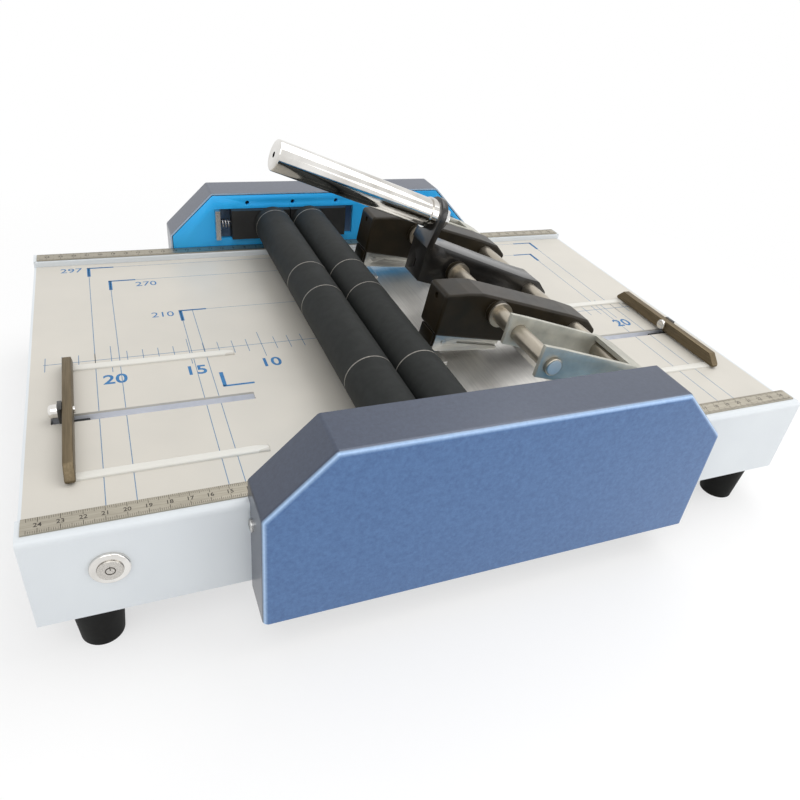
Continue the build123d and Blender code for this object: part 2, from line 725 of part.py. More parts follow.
def cover_screws():
    y = -cover_screw_y()
    outside = COVER_HALF_LENGTH
    head = rod_x(y, COVER_SCREW_Z, COVER_SCREW_HEAD_RADIUS, outside, outside + COVER_SCREW_HEAD)
    head = fillet(head.edges().sort_by(Axis.X)[-1], COVER_SCREW_HEAD / 2)
    shank = rod_x(y, COVER_SCREW_Z, COVER_SCREW_RADIUS, outside - COVER_SCREW_LENGTH, outside)
    screw = head + shank
    screw -= box(
        outside + COVER_SCREW_HEAD / 2,
        outside + COVER_SCREW_HEAD + 1,
        y - COVER_SCREW_RADIUS,
        y + COVER_SCREW_RADIUS,
        COVER_SCREW_Z - COVER_SCREW_HEAD / 5,
        COVER_SCREW_Z + COVER_SCREW_HEAD / 5,
    )
    other = mirror(screw, about=Plane.YZ)
    return group([screw, other, rear(screw), rear(other)])


# Paper stops, drawn on the right; the left ones are mirror images at their own depth
def slot_channel(stop_y):
    half = STOP_SLOT_WIDTH / 2
    x0 = STOP_SLOT_INNER_X - CHANNEL_WALL
    x1 = STOP_SLOT_OUTER_X + CHANNEL_WALL
    z0 = TABLE_UNDER - CHANNEL_DEPTH
    outer = box(x0, x1, stop_y - half - CHANNEL_WALL, stop_y + half + CHANNEL_WALL, z0, TABLE_UNDER)
    inner = box(
        STOP_SLOT_INNER_X,
        STOP_SLOT_OUTER_X,
        stop_y - half,
        stop_y + half,
        z0 + CHANNEL_WALL,
        TABLE_UNDER + 1,
    )
    return outer - inner


def stop_bar_bottom():
    return TABLE_TOP + RIB_HEIGHT + STOP_BAR_GAP


def stop_screw_z():
    return stop_bar_bottom() + STOP_SCREW_HEIGHT


def stop_bar(stop_y):
    z0 = stop_bar_bottom()
    half = STOP_BAR_LENGTH / 2
    bar = box(
        STOP_BAR_X - STOP_BAR_WIDTH / 2,
        STOP_BAR_X + STOP_BAR_WIDTH / 2,
        stop_y - half,
        stop_y + half,
        z0,
        z0 + STOP_BAR_HEIGHT,
    )
    top = bar.faces().sort_by(Axis.Z)[-1]
    ends = [edge for edge in top.edges() if abs(abs(edge.center().Y - stop_y) - half) < 0.01]
    bar = chamfer(ends, STOP_BAR_HEIGHT - STOP_BAR_FOOT)
    bar = fillet(bar.edges().filter_by(Axis.Z), STOP_BAR_ROUND)
    bore = rod_x(
        stop_y,
        stop_screw_z(),
        STOP_SCREW_RADIUS + BORE_CLEARANCE,
        STOP_BAR_X - STOP_BAR_WIDTH,
        STOP_BAR_X + STOP_BAR_WIDTH,
    )
    return bar - bore


def stop_slider(stop_y):
    """Runner in the channel, a neck through the slot, and a tab behind the bar."""
    floor = TABLE_UNDER - CHANNEL_DEPTH + CHANNEL_WALL + SLIDER_PLAY
    half = STOP_SLOT_WIDTH / 2 - SLIDER_PLAY
    tab_x = STOP_BAR_X + STOP_BAR_WIDTH / 2 + FACE_GAP
    right = tab_x + TAB_THICKNESS
    runner = box(right - SLIDER_LENGTH, right, stop_y - half, stop_y + half, floor, floor + SLIDER_HEIGHT)
    neck_half = SLIDER_NECK / 2
    neck = box(tab_x, right, stop_y - neck_half, stop_y + neck_half, floor, stop_bar_bottom())
    tab = box(
        tab_x,
        right,
        stop_y - TAB_WIDTH / 2,
        stop_y + TAB_WIDTH / 2,
        TABLE_TOP + SLIDER_PLAY,
        stop_screw_z() + STOP_KNOB_RADIUS,
    )
    bore = rod_x(stop_y, stop_screw_z(), STOP_SCREW_RADIUS + BORE_CLEARANCE, tab_x - 1, right + 1)
    return runner + neck + tab - bore


def stop_screw(stop_y, knob_outside):
    tab_x = STOP_BAR_X + STOP_BAR_WIDTH / 2 + FACE_GAP
    outer_end = tab_x + TAB_THICKNESS + FACE_GAP
    inner_end = STOP_BAR_X - STOP_BAR_WIDTH / 2 - FACE_GAP
    z = stop_screw_z()
    shank = rod_x(stop_y, z, STOP_SCREW_RADIUS, inner_end - 1, outer_end + 1)
    if knob_outside:
        knob = rod_x(stop_y, z, STOP_KNOB_RADIUS, outer_end, outer_end + STOP_KNOB_LENGTH)
        knob = fillet(knob.edges().sort_by(Axis.X)[-1], STOP_KNOB_RADIUS / 2)
    else:
        knob = rod_x(stop_y, z, STOP_KNOB_RADIUS, inner_end - STOP_KNOB_LENGTH / 2, inner_end)
        knob = fillet(knob.edges().sort_by(Axis.X)[0], STOP_KNOB_LENGTH / 4)
    return shank + knob


def left_side(shape):
    return mirror(shape, about=Plane.YZ)


# Rollers
def roller_core(x, front_end):
    rear_end = BLOCK_OUTER_Y + SHAFT_END
    core = rod_y(x, ROLLER_AXIS_Z, ROLLER_CORE_RADIUS, -ROLLER_HALF_LENGTH, ROLLER_HALF_LENGTH)
    core += rod_y(x, ROLLER_AXIS_Z, ROLLER_JOURNAL_RADIUS, -front_end, rear_end)
    for place in RING_PLACES:
        core += rod_y(x, ROLLER_AXIS_Z, RING_RADIUS, place - RING_WIDTH / 2, place + RING_WIDTH / 2)
    return core


def roller_rubber(x):
    ends = [-ROLLER_HALF_LENGTH] + list(RING_PLACES) + [ROLLER_HALF_LENGTH]
    sleeves = []
    for index in range(len(ends) - 1):
        y0 = ends[index] + (RING_WIDTH / 2 if index > 0 else 0)
        y1 = ends[index + 1] - (RING_WIDTH / 2 if index < len(RING_PLACES) else 0)
        sleeve = rod_y(x, ROLLER_AXIS_Z, ROLLER_RADIUS, y0, y1)
        sleeve = sleeve - rod_y(x, ROLLER_AXIS_Z, ROLLER_CORE_RADIUS, y0 - 1, y1 + 1)
        sleeves.append(sleeve)
    return group(sleeves)


def bearing_block(x0, x1, roller_x):
    """Block that fits the window, with a flange on the outer face of the side plate."""
    z0 = WINDOW_BOTTOM + BLOCK_PLAY
    z1 = WINDOW_TOP - BLOCK_PLAY
    body = box(x0, x1, -BLOCK_OUTER_Y, -BLOCK_INNER_Y, z0, z1)
    body += box(
        x0, x1, -BLOCK_OUTER_Y, -PLATE_OUT_Y - BLOCK_PLAY, z0 - BLOCK_FLANGE, z1 + BLOCK_FLANGE
    )
    bore = rod_y(
        roller_x,
        ROLLER_AXIS_Z,
        ROLLER_JOURNAL_RADIUS + BEARING_CLEARANCE,
        -BLOCK_OUTER_Y - 1,
        -BLOCK_INNER_Y + 1,
    )
    return body - bore


def left_bearing_blocks():
    block = bearing_block(BLOCK_LEFT_END, NIP_X - BLOCK_GAP / 2, LEFT_ROLLER_X)
    return group([block, rear(block)])


def right_bearing_blocks():
    right_end = 2 * NIP_X - BLOCK_LEFT_END
    block = bearing_block(NIP_X + BLOCK_GAP / 2, right_end, RIGHT_ROLLER_X)
    return group([block, rear(block)])


def spring_y():
    return (BLOCK_INNER_Y + BLOCK_OUTER_Y) / 2


def spring_seats():
    seat = box(
        WINDOW_LEFT,
        WINDOW_LEFT + SEAT_LENGTH,
        -BLOCK_OUTER_Y,
        -BLOCK_INNER_Y,
        WINDOW_BOTTOM,
        WINDOW_TOP,
    )
    return group([seat, rear(seat)])


def biarc(start, start_way, end, end_way):
    """Two tangent arcs between two points with given directions."""
    across = end - start
    ways = start_way + end_way
    spread = 2 * (1 - start_way.dot(end_way))
    along = across.dot(ways)
    reach = (-along + sqrt(along**2 + spread * across.dot(across))) / spread
    knee_start = start + start_way * reach
    knee_end = end - end_way * reach
    middle = (knee_start + knee_end) * 0.5
    middle_way = (knee_end - knee_start).normalized()
    first = TangentArc(start, middle, tangent=start_way)
    second = TangentArc(middle, end, tangent=middle_way)
    return [first, second]


def coil_spring(x0, x1, y, z):
    """Open coil along X between two flat faces, with straight ends."""
    straight = 2 * SPRING_WIRE
    begin = x0 + straight
    span = x1 - x0 - 2 * straight
    quarters = 4 * SPRING_CURLS
    slope = span / (2 * pi * SPRING_CURLS)
    steep = hypot(SPRING_RADIUS, slope)

    def point(turn):
        return Vector(
            begin + slope * turn, y + SPRING_RADIUS * cos(turn), z + SPRING_RADIUS * sin(turn)
        )

    def way(turn):
        return Vector(
            slope / steep, -SPRING_RADIUS * sin(turn) / steep, SPRING_RADIUS * cos(turn) / steep
        )

    least = 1e9
    samples = 24
    points = [point(2 * pi * index / samples) for index in range(samples * SPRING_CURLS + 1)]
    for index in range(len(points) - samples // 2):
        for other in range(index + samples // 2, len(points)):
            least = min(least, (points[index] - points[other]).length)
    print("least gap between the spring's own curls", round(least - 2 * SPRING_WIRE, 2))
    edges = []
    step = pi / 2
    for index in range(quarters):
        turn = index * step
        edges += biarc(point(turn), way(turn), point(turn + step), way(turn + step))
    path = Wire(edges)
    start_plane = Plane(origin=point(0), z_dir=way(0))
    coil = sweep(start_plane * Circle(SPRING_WIRE), path=path)
    first = rod_x(y + SPRING_RADIUS, z, SPRING_WIRE, x0, begin)
    last = rod_x(y + SPRING_RADIUS, z, SPRING_WIRE, x1 - straight, x1)
    joint_start = Pos(begin, y + SPRING_RADIUS, z) * Sphere(SPRING_WIRE)
    joint_end = Pos(x1 - straight, y + SPRING_RADIUS, z) * Sphere(SPRING_WIRE)
    return coil + first + last + joint_start + joint_end


def roller_springs():
    x0 = WINDOW_LEFT + SEAT_LENGTH + FACE_GAP
    x1 = BLOCK_LEFT_END - FACE_GAP
    return group([coil_spring(x0, x1, side * spring_y(), ROLLER_AXIS_Z) for side in (-1, 1)])


# Gears
def involute(radius, base_radius):
    angle = acos(min(1.0, base_radius / radius))
    return tan(angle) - angle


def gear_face(teeth, module, phase):
    """Involute gear outline with a tooth centred at the phase angle."""
    pitch_radius = module * teeth / 2
    base_radius = pitch_radius * cos(PRESSURE_ANGLE)
    root = pitch_radius - 1.25 * module
    tip = pitch_radius + 0.9 * module
    half = pi / (2 * teeth) - BACKLASH / (4 * pitch_radius)
    radii = [max(base_radius, root), pitch_radius, tip]
    widths = [
        half + involute(pitch_radius, base_radius) - involute(radius, base_radius) for radius in radii
    ]
    if root < base_radius:
        radii = [root] + radii
        widths = [widths[0]] + widths
    points = []
    for tooth in range(teeth):
        centre = phase + 2 * pi * tooth / teeth
        for radius, width in zip(radii, widths):
            points.append((radius * cos(centre - width), radius * sin(centre - width)))
        for radius, width in zip(reversed(radii), reversed(widths)):
            points.append((radius * cos(centre + width), radius * sin(centre + width)))
    return outline(points)


def gear(x, z, teeth, module, phase, bore, y0, y1):
    face = Pos(x, z) * gear_face(teeth, module, phase)
    return slab_xz(face, y0, y1) - rod_y(x, z, bore, y0 - 1, y1 + 1)


def left_roller_gear():
    phase = pi / ROLLER_GEAR_TEETH
    return roller_gear(LEFT_ROLLER_X, phase)


def right_roller_gear():
    return roller_gear(RIGHT_ROLLER_X, pi)


def roller_gear(x, phase):
    y0 = -ROLLER_GEAR_IN - ROLLER_GEAR_WIDTH
    return gear(
        x,
        ROLLER_AXIS_Z,
        ROLLER_GEAR_TEETH,
        ROLLER_GEAR_MODULE,
        phase,
        ROLLER_JOURNAL_RADIUS,
        y0,
        -ROLLER_GEAR_IN,
    )


def drive_angle():
    return atan2(MOTOR_Z - ROLLER_AXIS_Z, MOTOR_X - RIGHT_ROLLER_X)


def drive_gear():
    y0 = -DRIVE_GEAR_IN - DRIVE_GEAR_WIDTH
    return gear(
        RIGHT_ROLLER_X,
        ROLLER_AXIS_Z,
        DRIVE_GEAR_TEETH,
        DRIVE_MODULE,
        drive_angle(),
        ROLLER_JOURNAL_RADIUS,
        y0,
        -DRIVE_GEAR_IN,
    )


def motor_gear():
    y0 = -DRIVE_GEAR_IN - DRIVE_GEAR_WIDTH
    phase = drive_angle() + pi + pi / MOTOR_GEAR_TEETH
    wheel = gear(
        MOTOR_X, MOTOR_Z, MOTOR_GEAR_TEETH, DRIVE_MODULE, phase, MOTOR_SHAFT_RADIUS, y0, -DRIVE_GEAR_IN
    )
    shaft_in = -PLATE_IN_Y + MOTOR_SHAFT_DEPTH
    return wheel + rod_y(MOTOR_X, MOTOR_Z, MOTOR_SHAFT_RADIUS, y0 - SHAFT_END, shaft_in)


def drive_motor():
    y0 = -PLATE_IN_Y
    body = rod_y(MOTOR_X, MOTOR_Z, MOTOR_RADIUS, y0, y0 + MOTOR_LENGTH)
    body = fillet(body.edges().sort_by(Axis.Y)[-1], 1.5)
    depth = y0 + MOTOR_SHAFT_DEPTH + SHAFT_END
    return body - rod_y(MOTOR_X, MOTOR_Z, MOTOR_SHAFT_RADIUS + BEARING_CLEARANCE, y0 - 1, depth)


# Fold blade and its lift
BLADE_TOP = TABLE_TOP - BLADE_REST_DROP
BLADE_BOTTOM = BLADE_TOP - BLADE_HEIGHT
BLADE_LEFT = NIP_X - BLADE_THICKNESS / 2
BLADE_RIGHT = NIP_X + BLADE_THICKNESS / 2
POST_X = BLADE_LEFT - CARRIER_WIDTH / 2
RACK_PITCH_X = BLADE_RIGHT + RACK_BACK + 1.25 * DRIVE_MODULE
PINION_RADIUS = DRIVE_MODULE * PINION_TEETH / 2
LIFT_X = RACK_PITCH_X + PINION_RADIUS


def fold_blade():
    return box(
        BLADE_LEFT, BLADE_RIGHT, -BLADE_HALF_LENGTH, BLADE_HALF_LENGTH, BLADE_BOTTOM, BLADE_TOP
    )


def blade_carrier():
    bar = box(
        BLADE_LEFT - CARRIER_WIDTH,
        BLADE_LEFT,
        -CARRIER_HALF_LENGTH,
        CARRIER_HALF_LENGTH,
        BLADE_BOTTOM,
        BLADE_BOTTOM + CARRIER_HEIGHT,
    )
    for y in (-POST_Y, POST_Y):
        bar -= rod_z(POST_X, y, POST_RADIUS + BEARING_CLEARANCE, 0, TABLE_TOP)
    return bar


def blade_guide_posts():
    posts = []
    for y in (-POST_Y, POST_Y):
        post = rod_z(POST_X, y, POST_RADIUS, FLOOR_TOP, POST_TOP)
        posts.append(post + rod_z(POST_X, y, POST_FLANGE_RADIUS, FLOOR_TOP, FLOOR_TOP + POST_FLANGE))
    return group(posts)


def blade_rack():
    """Rack on the blade's right face, with gaps that line up with the pinion's teeth."""
    module = DRIVE_MODULE
    pitch = pi * module
    lean = tan(PRESSURE_ANGLE)
    half = pitch / 4 - BACKLASH / 4
    root_x = RACK_PITCH_X - 1.25 * module
    tip_x = RACK_PITCH_X + 0.9 * module
    bottom = BLADE_BOTTOM
    top = BLADE_BOTTOM + RACK_HEIGHT
    points = [(BLADE_RIGHT, bottom), (BLADE_RIGHT, top), (root_x, top)]
    highest = int((top - LIFT_MOTOR_Z) / pitch - 1)
    lowest = -int((LIFT_MOTOR_Z - bottom) / pitch)
    for number in range(highest, lowest, -1):
        z = LIFT_MOTOR_Z + (number + 0.5) * pitch
        root_half = half + 1.25 * module * lean
        tip_half = half - 0.9 * module * lean
        points.append((root_x, z + root_half))
        points.append((tip_x, z + tip_half))
        points.append((tip_x, z - tip_half))
        points.append((root_x, z - root_half))
    points.append((root_x, bottom))
    return slab_xz(outline(points), 0, RACK_WIDTH)


def lift_pinion():
    wheel = gear(
        LIFT_X,
        LIFT_MOTOR_Z,
        PINION_TEETH,
        DRIVE_MODULE,
        pi,
        MOTOR_SHAFT_RADIUS,
        0,
        RACK_WIDTH,
    )
    shaft_end = RACK_WIDTH + LIFT_MOTOR_GAP + MOTOR_SHAFT_DEPTH
    return wheel + rod_y(LIFT_X, LIFT_MOTOR_Z, MOTOR_SHAFT_RADIUS, 0, shaft_end)


def lift_motor():
    y0 = RACK_WIDTH + LIFT_MOTOR_GAP
    body = rod_y(LIFT_X, LIFT_MOTOR_Z, LIFT_MOTOR_RADIUS, y0, y0 + LIFT_MOTOR_LENGTH)
    stand = box(
        LIFT_X - LIFT_MOTOR_RADIUS,
        LIFT_X + LIFT_MOTOR_RADIUS,
        y0,
        y0 + LIFT_MOTOR_LENGTH,
        FLOOR_TOP,
        LIFT_MOTOR_Z,
    )
    depth = y0 + MOTOR_SHAFT_DEPTH + SHAFT_END
    bore = rod_y(LIFT_X, LIFT_MOTOR_Z, MOTOR_SHAFT_RADIUS + BEARING_CLEARANCE, y0 - 1, depth)
    return body + stand - bore


# Stapling frame: sizes are offsets from the pivot, with the heads down
PRESS_X = PIVOT_X - PRESS_SHAFT_BACK
PRESS_Z = PIVOT_Z + PRESS_SHAFT_UP


def raised(shape):
    """Turn a piece drawn with the heads down to its raised rest place."""
    tilt = Pos(PIVOT_X, 0, PIVOT_Z) * Rot(0, REST_TILT, 0) * Pos(-PIVOT_X, 0, -PIVOT_Z)
    return tilt * shape


def from_pivot(points):
    return [(PIVOT_X + x, PIVOT_Z + z) for x, z in points]


def shaft_bores(y0, y1):
    radius = SHAFT_RADIUS + BORE_CLEARANCE
    return [rod_y(PIVOT_X, PIVOT_Z, radius, y0, y1), rod_y(PRESS_X, PRESS_Z, radius, y0, y1)]


def pivot_shaft():
    y_end = PLATE_OUT_Y + SHAFT_END + CIRCLIP_WIDTH + RETURN_SPRING_LENGTH
    shaft = rod_y(PIVOT_X, PIVOT_Z, SHAFT_RADIUS, -y_end, y_end)
    clip_y = -PLATE_OUT_Y - FACE_GAP
    clip = rod_y(PIVOT_X, PIVOT_Z, CIRCLIP_RADIUS, clip_y - CIRCLIP_WIDTH, clip_y)
    return shaft + clip


def press_shaft():
    y0 = PRESS_SHAFT_FRONT_END
    y1 = PRESS_SHAFT_REAR_END
    shaft = rod_y(PRESS_X, PRESS_Z, SHAFT_RADIUS, y0, y1)
    shaft = fillet(shaft.edges().filter_by(GeomType.CIRCLE), 1.0)
    front_bush = FRONT_HEAD_Y - HEAD_WIDTH / 2
    shaft += rod_y(PRESS_X, PRESS_Z, BUSH_RADIUS, front_bush - BUSH_LENGTH, front_bush)
    rear_bush = REAR_HEAD_Y - HEAD_WIDTH / 2
    shaft += rod_y(PRESS_X, PRESS_Z, BUSH_RADIUS, rear_bush - BUSH_LENGTH, rear_bush)
    lever_bush = LEVER_Y - LEVER_WIDTH / 2
    shaft += rod_y(PRESS_X, PRESS_Z, BUSH_RADIUS, lever_bush - BUSH_LENGTH, lever_bush)
    return raised(shaft)


def swing_arm(middle_y, width):
    """Plated steel fork: two long ears joined by a web over the pivot shaft."""
    nose_x = -PRESS_SHAFT_BACK - ARM_NOSE_AHEAD
    ear_points = [
        (nose_x, -ARM_NOSE_DOWN),
        (nose_x - ARM_NOSE_LEAN, ARM_NOSE_UP),
        (nose_x + ARM_NOSE_FLAT, ARM_NOSE_UP - ARM_NOSE_SLOPE),
        (-ARM_SHOULDER_AHEAD, ARM_SHOULDER_UP),
        (ARM_TAIL_BACK, ARM_TAIL_UP),
        (ARM_TAIL_REACH, -ARM_TAIL_UP),
        (ARM_TAIL_BACK - ARM_BELLY_IN, -ARM_BELLY_DOWN),
        (-ARM_TAIL_BACK / 2, -ARM_BELLY_DOWN),
    ]
    y0 = middle_y - width / 2
    y1 = middle_y + width / 2
    block = slab_xz(outline(from_pivot(ear_points)), y0, y1)
    clear = 2 * ARM_NOSE_UP
    gap_points = [
        (nose_x - 2 * ARM_NOSE_LEAN, -clear),
        (nose_x - 2 * ARM_NOSE_LEAN, clear),
        (-2 * ARM_PLATE - ARM_WEB_AHEAD, clear),
        (-ARM_WEB_AHEAD, ARM_SHOULDER_UP - ARM_PLATE),
        (ARM_TAIL_BACK, ARM_TAIL_UP - ARM_PLATE),
        (ARM_TAIL_REACH - ARM_PLATE, -ARM_TAIL_UP),
        (ARM_TAIL_REACH - ARM_PLATE, -clear),
    ]
    gap = slab_xz(outline(from_pivot(gap_points)), y0 + ARM_PLATE, y1 - ARM_PLATE)
    arm = block - gap
    for bore in shaft_bores(y0 - 1, y1 + 1):
        arm -= bore
    return raised(arm)


def head_points():
    return [
        (-HEAD_NOSE_BACK, -HEAD_BOTTOM_DOWN),
        (-HEAD_NOSE_BACK - 1, HEAD_NOSE_UP),
        (-HEAD_NOSE_BACK + HEAD_NOSE_FLAT, HEAD_NOSE_UP + HEAD_NOSE_RISE),
        (-HEAD_HUMP_BACK, HEAD_HUMP_UP),
        (-HEAD_HUMP_BACK + HEAD_HUMP_FLAT, HEAD_HUMP_UP - HEAD_HUMP_DROP),
        (-HEAD_TAIL_AHEAD, HEAD_TAIL_UP),
        (HEAD_TAIL_BACK, HEAD_TAIL_UP - HEAD_CORNER),
        (HEAD_TAIL_REACH, 0),
        (HEAD_TAIL_REACH - 2, 2 - HEAD_BELLY_DOWN),
        (-HEAD_TAIL_AHEAD, -HEAD_BELLY_DOWN),
        (-HEAD_BELLY_AHEAD, -HEAD_BELLY_DOWN - 1),
        (-HEAD_JAW_BACK, -HEAD_BOTTOM_DOWN),
    ]


def head_housing(middle_y):
    y0 = middle_y - HEAD_WIDTH / 2
    y1 = middle_y + HEAD_WIDTH / 2
    points = from_pivot(head_points())
    corners = [points[0], points[1], points[6], points[7]]
    body = slab_xz(outline(points, corners, HEAD_CORNER), y0, y1)
    side_edges = []
    lowest = PIVOT_Z - HEAD_BELLY_DOWN + HEAD_ROUND_RISE
    for face_y in (y0, y1):
        for edge in body.edges():
            if abs(edge.center().Y - face_y) < 0.01 and edge.center().Z > lowest:
                side_edges.append(edge)
    body = fillet(side_edges, HEAD_ROUND)
    bottom = PIVOT_Z - HEAD_BOTTOM_DOWN
    nose_x = PIVOT_X - HEAD_NOSE_BACK
    hollow = box(
        nose_x + HEAD_SHELL,
        PIVOT_X - HEAD_HOLLOW_BACK,
        y0 + HEAD_SHELL,
        y1 - HEAD_SHELL,
        bottom - 1,
        PRESS_Z - SHAFT_RADIUS - HEAD_SHELL,
    )
    body -= hollow
    slot_z = PIVOT_Z + HEAD_NOSE_UP - HEAD_SLOT_DROP
    body -= rod_x(middle_y, slot_z, HEAD_SLOT_RADIUS, nose_x - HEAD_CORNER, nose_x + HEAD_SHELL / 2)
    for bore in shaft_bores(y0 - 1, y1 + 1):
        body -= bore
    return raised(body)


def magazine_body(middle_y):
    """Wedge below the housing that lies flat on the table when pressed, with side slots and screws."""
    top = PIVOT_Z - HEAD_BOTTOM_DOWN
    x0 = PIVOT_X - HEAD_NOSE_BACK + HEAD_PLATE_SET + HEAD_PLATE_THICKNESS
    x1 = x0 + MAGAZINE_BODY_LENGTH
    low = top - MAGAZINE_BODY_DROP
    rear_low = low + MAGAZINE_BODY_LENGTH * tan(radians(MAGAZINE_BODY_SLOPE))
    half = MAGAZINE_BODY_WIDTH / 2
    y0 = middle_y - half
    y1 = middle_y + half
    body = slab_xz(outline([(x0, top), (x1, top), (x1, rear_low), (x0, low)]), y0, y1)
    slot_top = top - MAGAZINE_SLOT_DROP
    screw_x = x0 + MAGAZINE_SCREW_BACK
    screw_z = top - MAGAZINE_SCREW_DROP
    for side, face in ((-1, y0), (1, y1)):
        inner = face - side * MAGAZINE_SLOT_DEPTH
        body -= box(
            x0 + MAGAZINE_SLOT_START,
            x1 + 1,
            min(inner, face),
            max(inner, face),
            slot_top - MAGAZINE_SLOT_HEIGHT,
            slot_top,
        )
        outer = face + side * MAGAZINE_SCREW_PROUD
        body += rod_y(screw_x, screw_z, MAGAZINE_SCREW_RADIUS, min(face, outer), max(face, outer))
    return body


def head_magazine(middle_y):
    """Staple channel in the housing with the driver block at its nose, and the body below it."""
    nose_x = PIVOT_X - HEAD_NOSE_BACK
    bottom = PIVOT_Z - HEAD_BOTTOM_DOWN
    inside = nose_x + HEAD_SHELL + FACE_GAP
    half = MAGAZINE_WIDTH / 2
    height = PRESS_Z - SHAFT_RADIUS - HEAD_SHELL - FACE_GAP
    rail = box(inside, inside + MAGAZINE_LENGTH, middle_y - half, middle_y + half, bottom, height)
    groove = box(
        inside + NOSE_BLOCK_LENGTH,
        inside + MAGAZINE_LENGTH + 1,
        middle_y - half + MAGAZINE_WALL,
        middle_y + half - MAGAZINE_WALL,
        bottom + MAGAZINE_FLOOR,
        height + 1,
    )
    return raised(rail - groove + magazine_body(middle_y))


def head_plate(middle_y):
    """Black guide plate that hangs from the nose, in front of the magazine."""
    x0 = PIVOT_X - HEAD_NOSE_BACK + HEAD_PLATE_SET
    bottom = PIVOT_Z - HEAD_BOTTOM_DOWN
    half = HEAD_PLATE_WIDTH / 2
    plate = box(
        x0,
        x0 + HEAD_PLATE_THICKNESS,
        middle_y - half,
        middle_y + half,
        bottom - HEAD_PLATE_DROP,
        bottom,
    )
    return raised(plate)


def anvils():
    nose_x = PIVOT_X - HEAD_NOSE_BACK
    middle_x = nose_x + HEAD_SHELL + NOSE_BLOCK_LENGTH / 2
    blocks = []
    for y in (FRONT_HEAD_Y, REAR_HEAD_Y):
        block = box(
            middle_x - ANVIL_LENGTH / 2,
            middle_x + ANVIL_LENGTH / 2,
            y - ANVIL_WIDTH / 2,
            y + ANVIL_WIDTH / 2,
            TABLE_TOP,
            TABLE_TOP + ANVIL_THICKNESS,
        )
        groove_z = TABLE_TOP + ANVIL_THICKNESS + ANVIL_GROOVE_UP
        for groove_y in (y - ANVIL_GROOVE_OFFSET, y + ANVIL_GROOVE_OFFSET):
            y0 = groove_y - ANVIL_GROOVE_HALF
            y1 = groove_y + ANVIL_GROOVE_HALF
            block -= rod_y(middle_x, groove_z, ANVIL_GROOVE_RADIUS, y0, y1)
        blocks.append(block)
    return group(blocks)


def handle_frame():
    """Plane at the root of the handle, looking along it toward the free end."""
    slope = radians(HANDLE_SLOPE)
    origin = (PIVOT_X - HANDLE_START_BACK, LEVER_Y, PIVOT_Z + HANDLE_START_UP)
    return Plane(origin=origin, x_dir=(0, 1, 0), z_dir=(-cos(slope), 0, sin(slope)))


def along_handle(radius, start, end):
    rod = Pos(0, 0, (start + end) / 2) * Cylinder(radius, end - start)
    return handle_frame().location * rod


def lug():
    """Upright strap with a rounded top that carries the handle's stud."""
    half = LUG_WIDTH / 2
    strap = Pos(-LUG_BELOW / 2, 0, -LUG_THICKNESS / 2) * Box(LUG_BELOW, LUG_WIDTH, LUG_THICKNESS)
    top = Pos(0, 0, -LUG_THICKNESS / 2) * Cylinder(half, LUG_THICKNESS)
    upright = Rot(0, 0, -90) * (strap + top)
    return handle_frame().location * upright


def handle_lever():
    """Black channel over both shafts, closed by a front plate, with the lug welded on."""
    y0 = LEVER_Y - LEVER_WIDTH / 2
    y1 = LEVER_Y + LEVER_WIDTH / 2
    front = -LEVER_FRONT_BACK
    shoulder_up = LEVER_FRONT_UP - LEVER_FRONT_SLOPE
    points = from_pivot(
        [
            (front, -LEVER_FRONT_DOWN),
            (front, LEVER_FRONT_UP),
            (front + LEVER_FRONT_FLAT, shoulder_up),
            (-LEVER_TAIL_AHEAD, LEVER_TAIL_UP),
            (LEVER_TAIL_BACK, LEVER_TAIL_UP - 2),
            (LEVER_TAIL_REACH, -2),
            (LEVER_TAIL_UP, -LEVER_BELLY_DOWN),
            (-LEVER_BELLY_AHEAD, -LEVER_BELLY_DOWN),
        ]
    )
    body = slab_xz(outline(points, [points[1], points[4], points[5]], LEVER_CORNER), y0, y1)
    clear = 2 * LEVER_TAIL_REACH
    inner = from_pivot(
        [
            (front + LEVER_PLATE, -clear),
            (front + LEVER_PLATE, LEVER_FRONT_UP - 1 - LEVER_PLATE),
            (front + LEVER_FRONT_FLAT, shoulder_up - LEVER_PLATE),
            (-LEVER_TAIL_AHEAD, LEVER_TAIL_UP - LEVER_PLATE),
            (clear, LEVER_FRONT_DOWN - LEVER_PLATE),
            (clear, -clear),
        ]
    )
    body -= slab_xz(outline(inner), y0 + LEVER_PLATE, y1 - LEVER_PLATE)
    for bore in shaft_bores(y0 - 1, y1 + 1):
        body -= bore
    slot_z = PIVOT_Z + LEVER_SLOT_UP
    body -= box(
        PIVOT_X + front - 1,
        PIVOT_X + front + LEVER_PLATE + 1,
        LEVER_Y - LEVER_SLOT_WIDTH / 2,
        LEVER_Y + LEVER_SLOT_WIDTH / 2,
        slot_z,
        slot_z + LEVER_SLOT_HEIGHT,
    )
    body += lug()
    body -= along_handle(HANDLE_STUD_RADIUS + HANDLE_STUD_CLEARANCE, -2 * LUG_THICKNESS, 1)
    return raised(body)


def handle_tube():
    """Chrome tube with a closed free end, a root collar and a stud through the lug."""
    tube = along_handle(HANDLE_RADIUS, 0, HANDLE_LENGTH)
    tube = fillet(far_edge(tube), 1.2)
    tube -= along_handle(HANDLE_RADIUS - HANDLE_WALL, HANDLE_COLLAR_LENGTH, HANDLE_LENGTH - 2 * HANDLE_WALL)
    tube -= along_handle(HANDLE_CAP_HOLE_RADIUS, HANDLE_LENGTH - 3 * HANDLE_WALL, HANDLE_LENGTH + 1)
    tube += along_handle(HANDLE_COLLAR_RADIUS, 0, HANDLE_COLLAR_LENGTH)
    nut_end = -LUG_THICKNESS - HANDLE_NUT_HEIGHT
    tube += along_handle(HANDLE_STUD_RADIUS, nut_end - SHAFT_END, 0)
    return raised(tube)


def far_edge(shape):
    return shape.edges().filter_by(GeomType.CIRCLE).sort_by(Axis.X)[0]


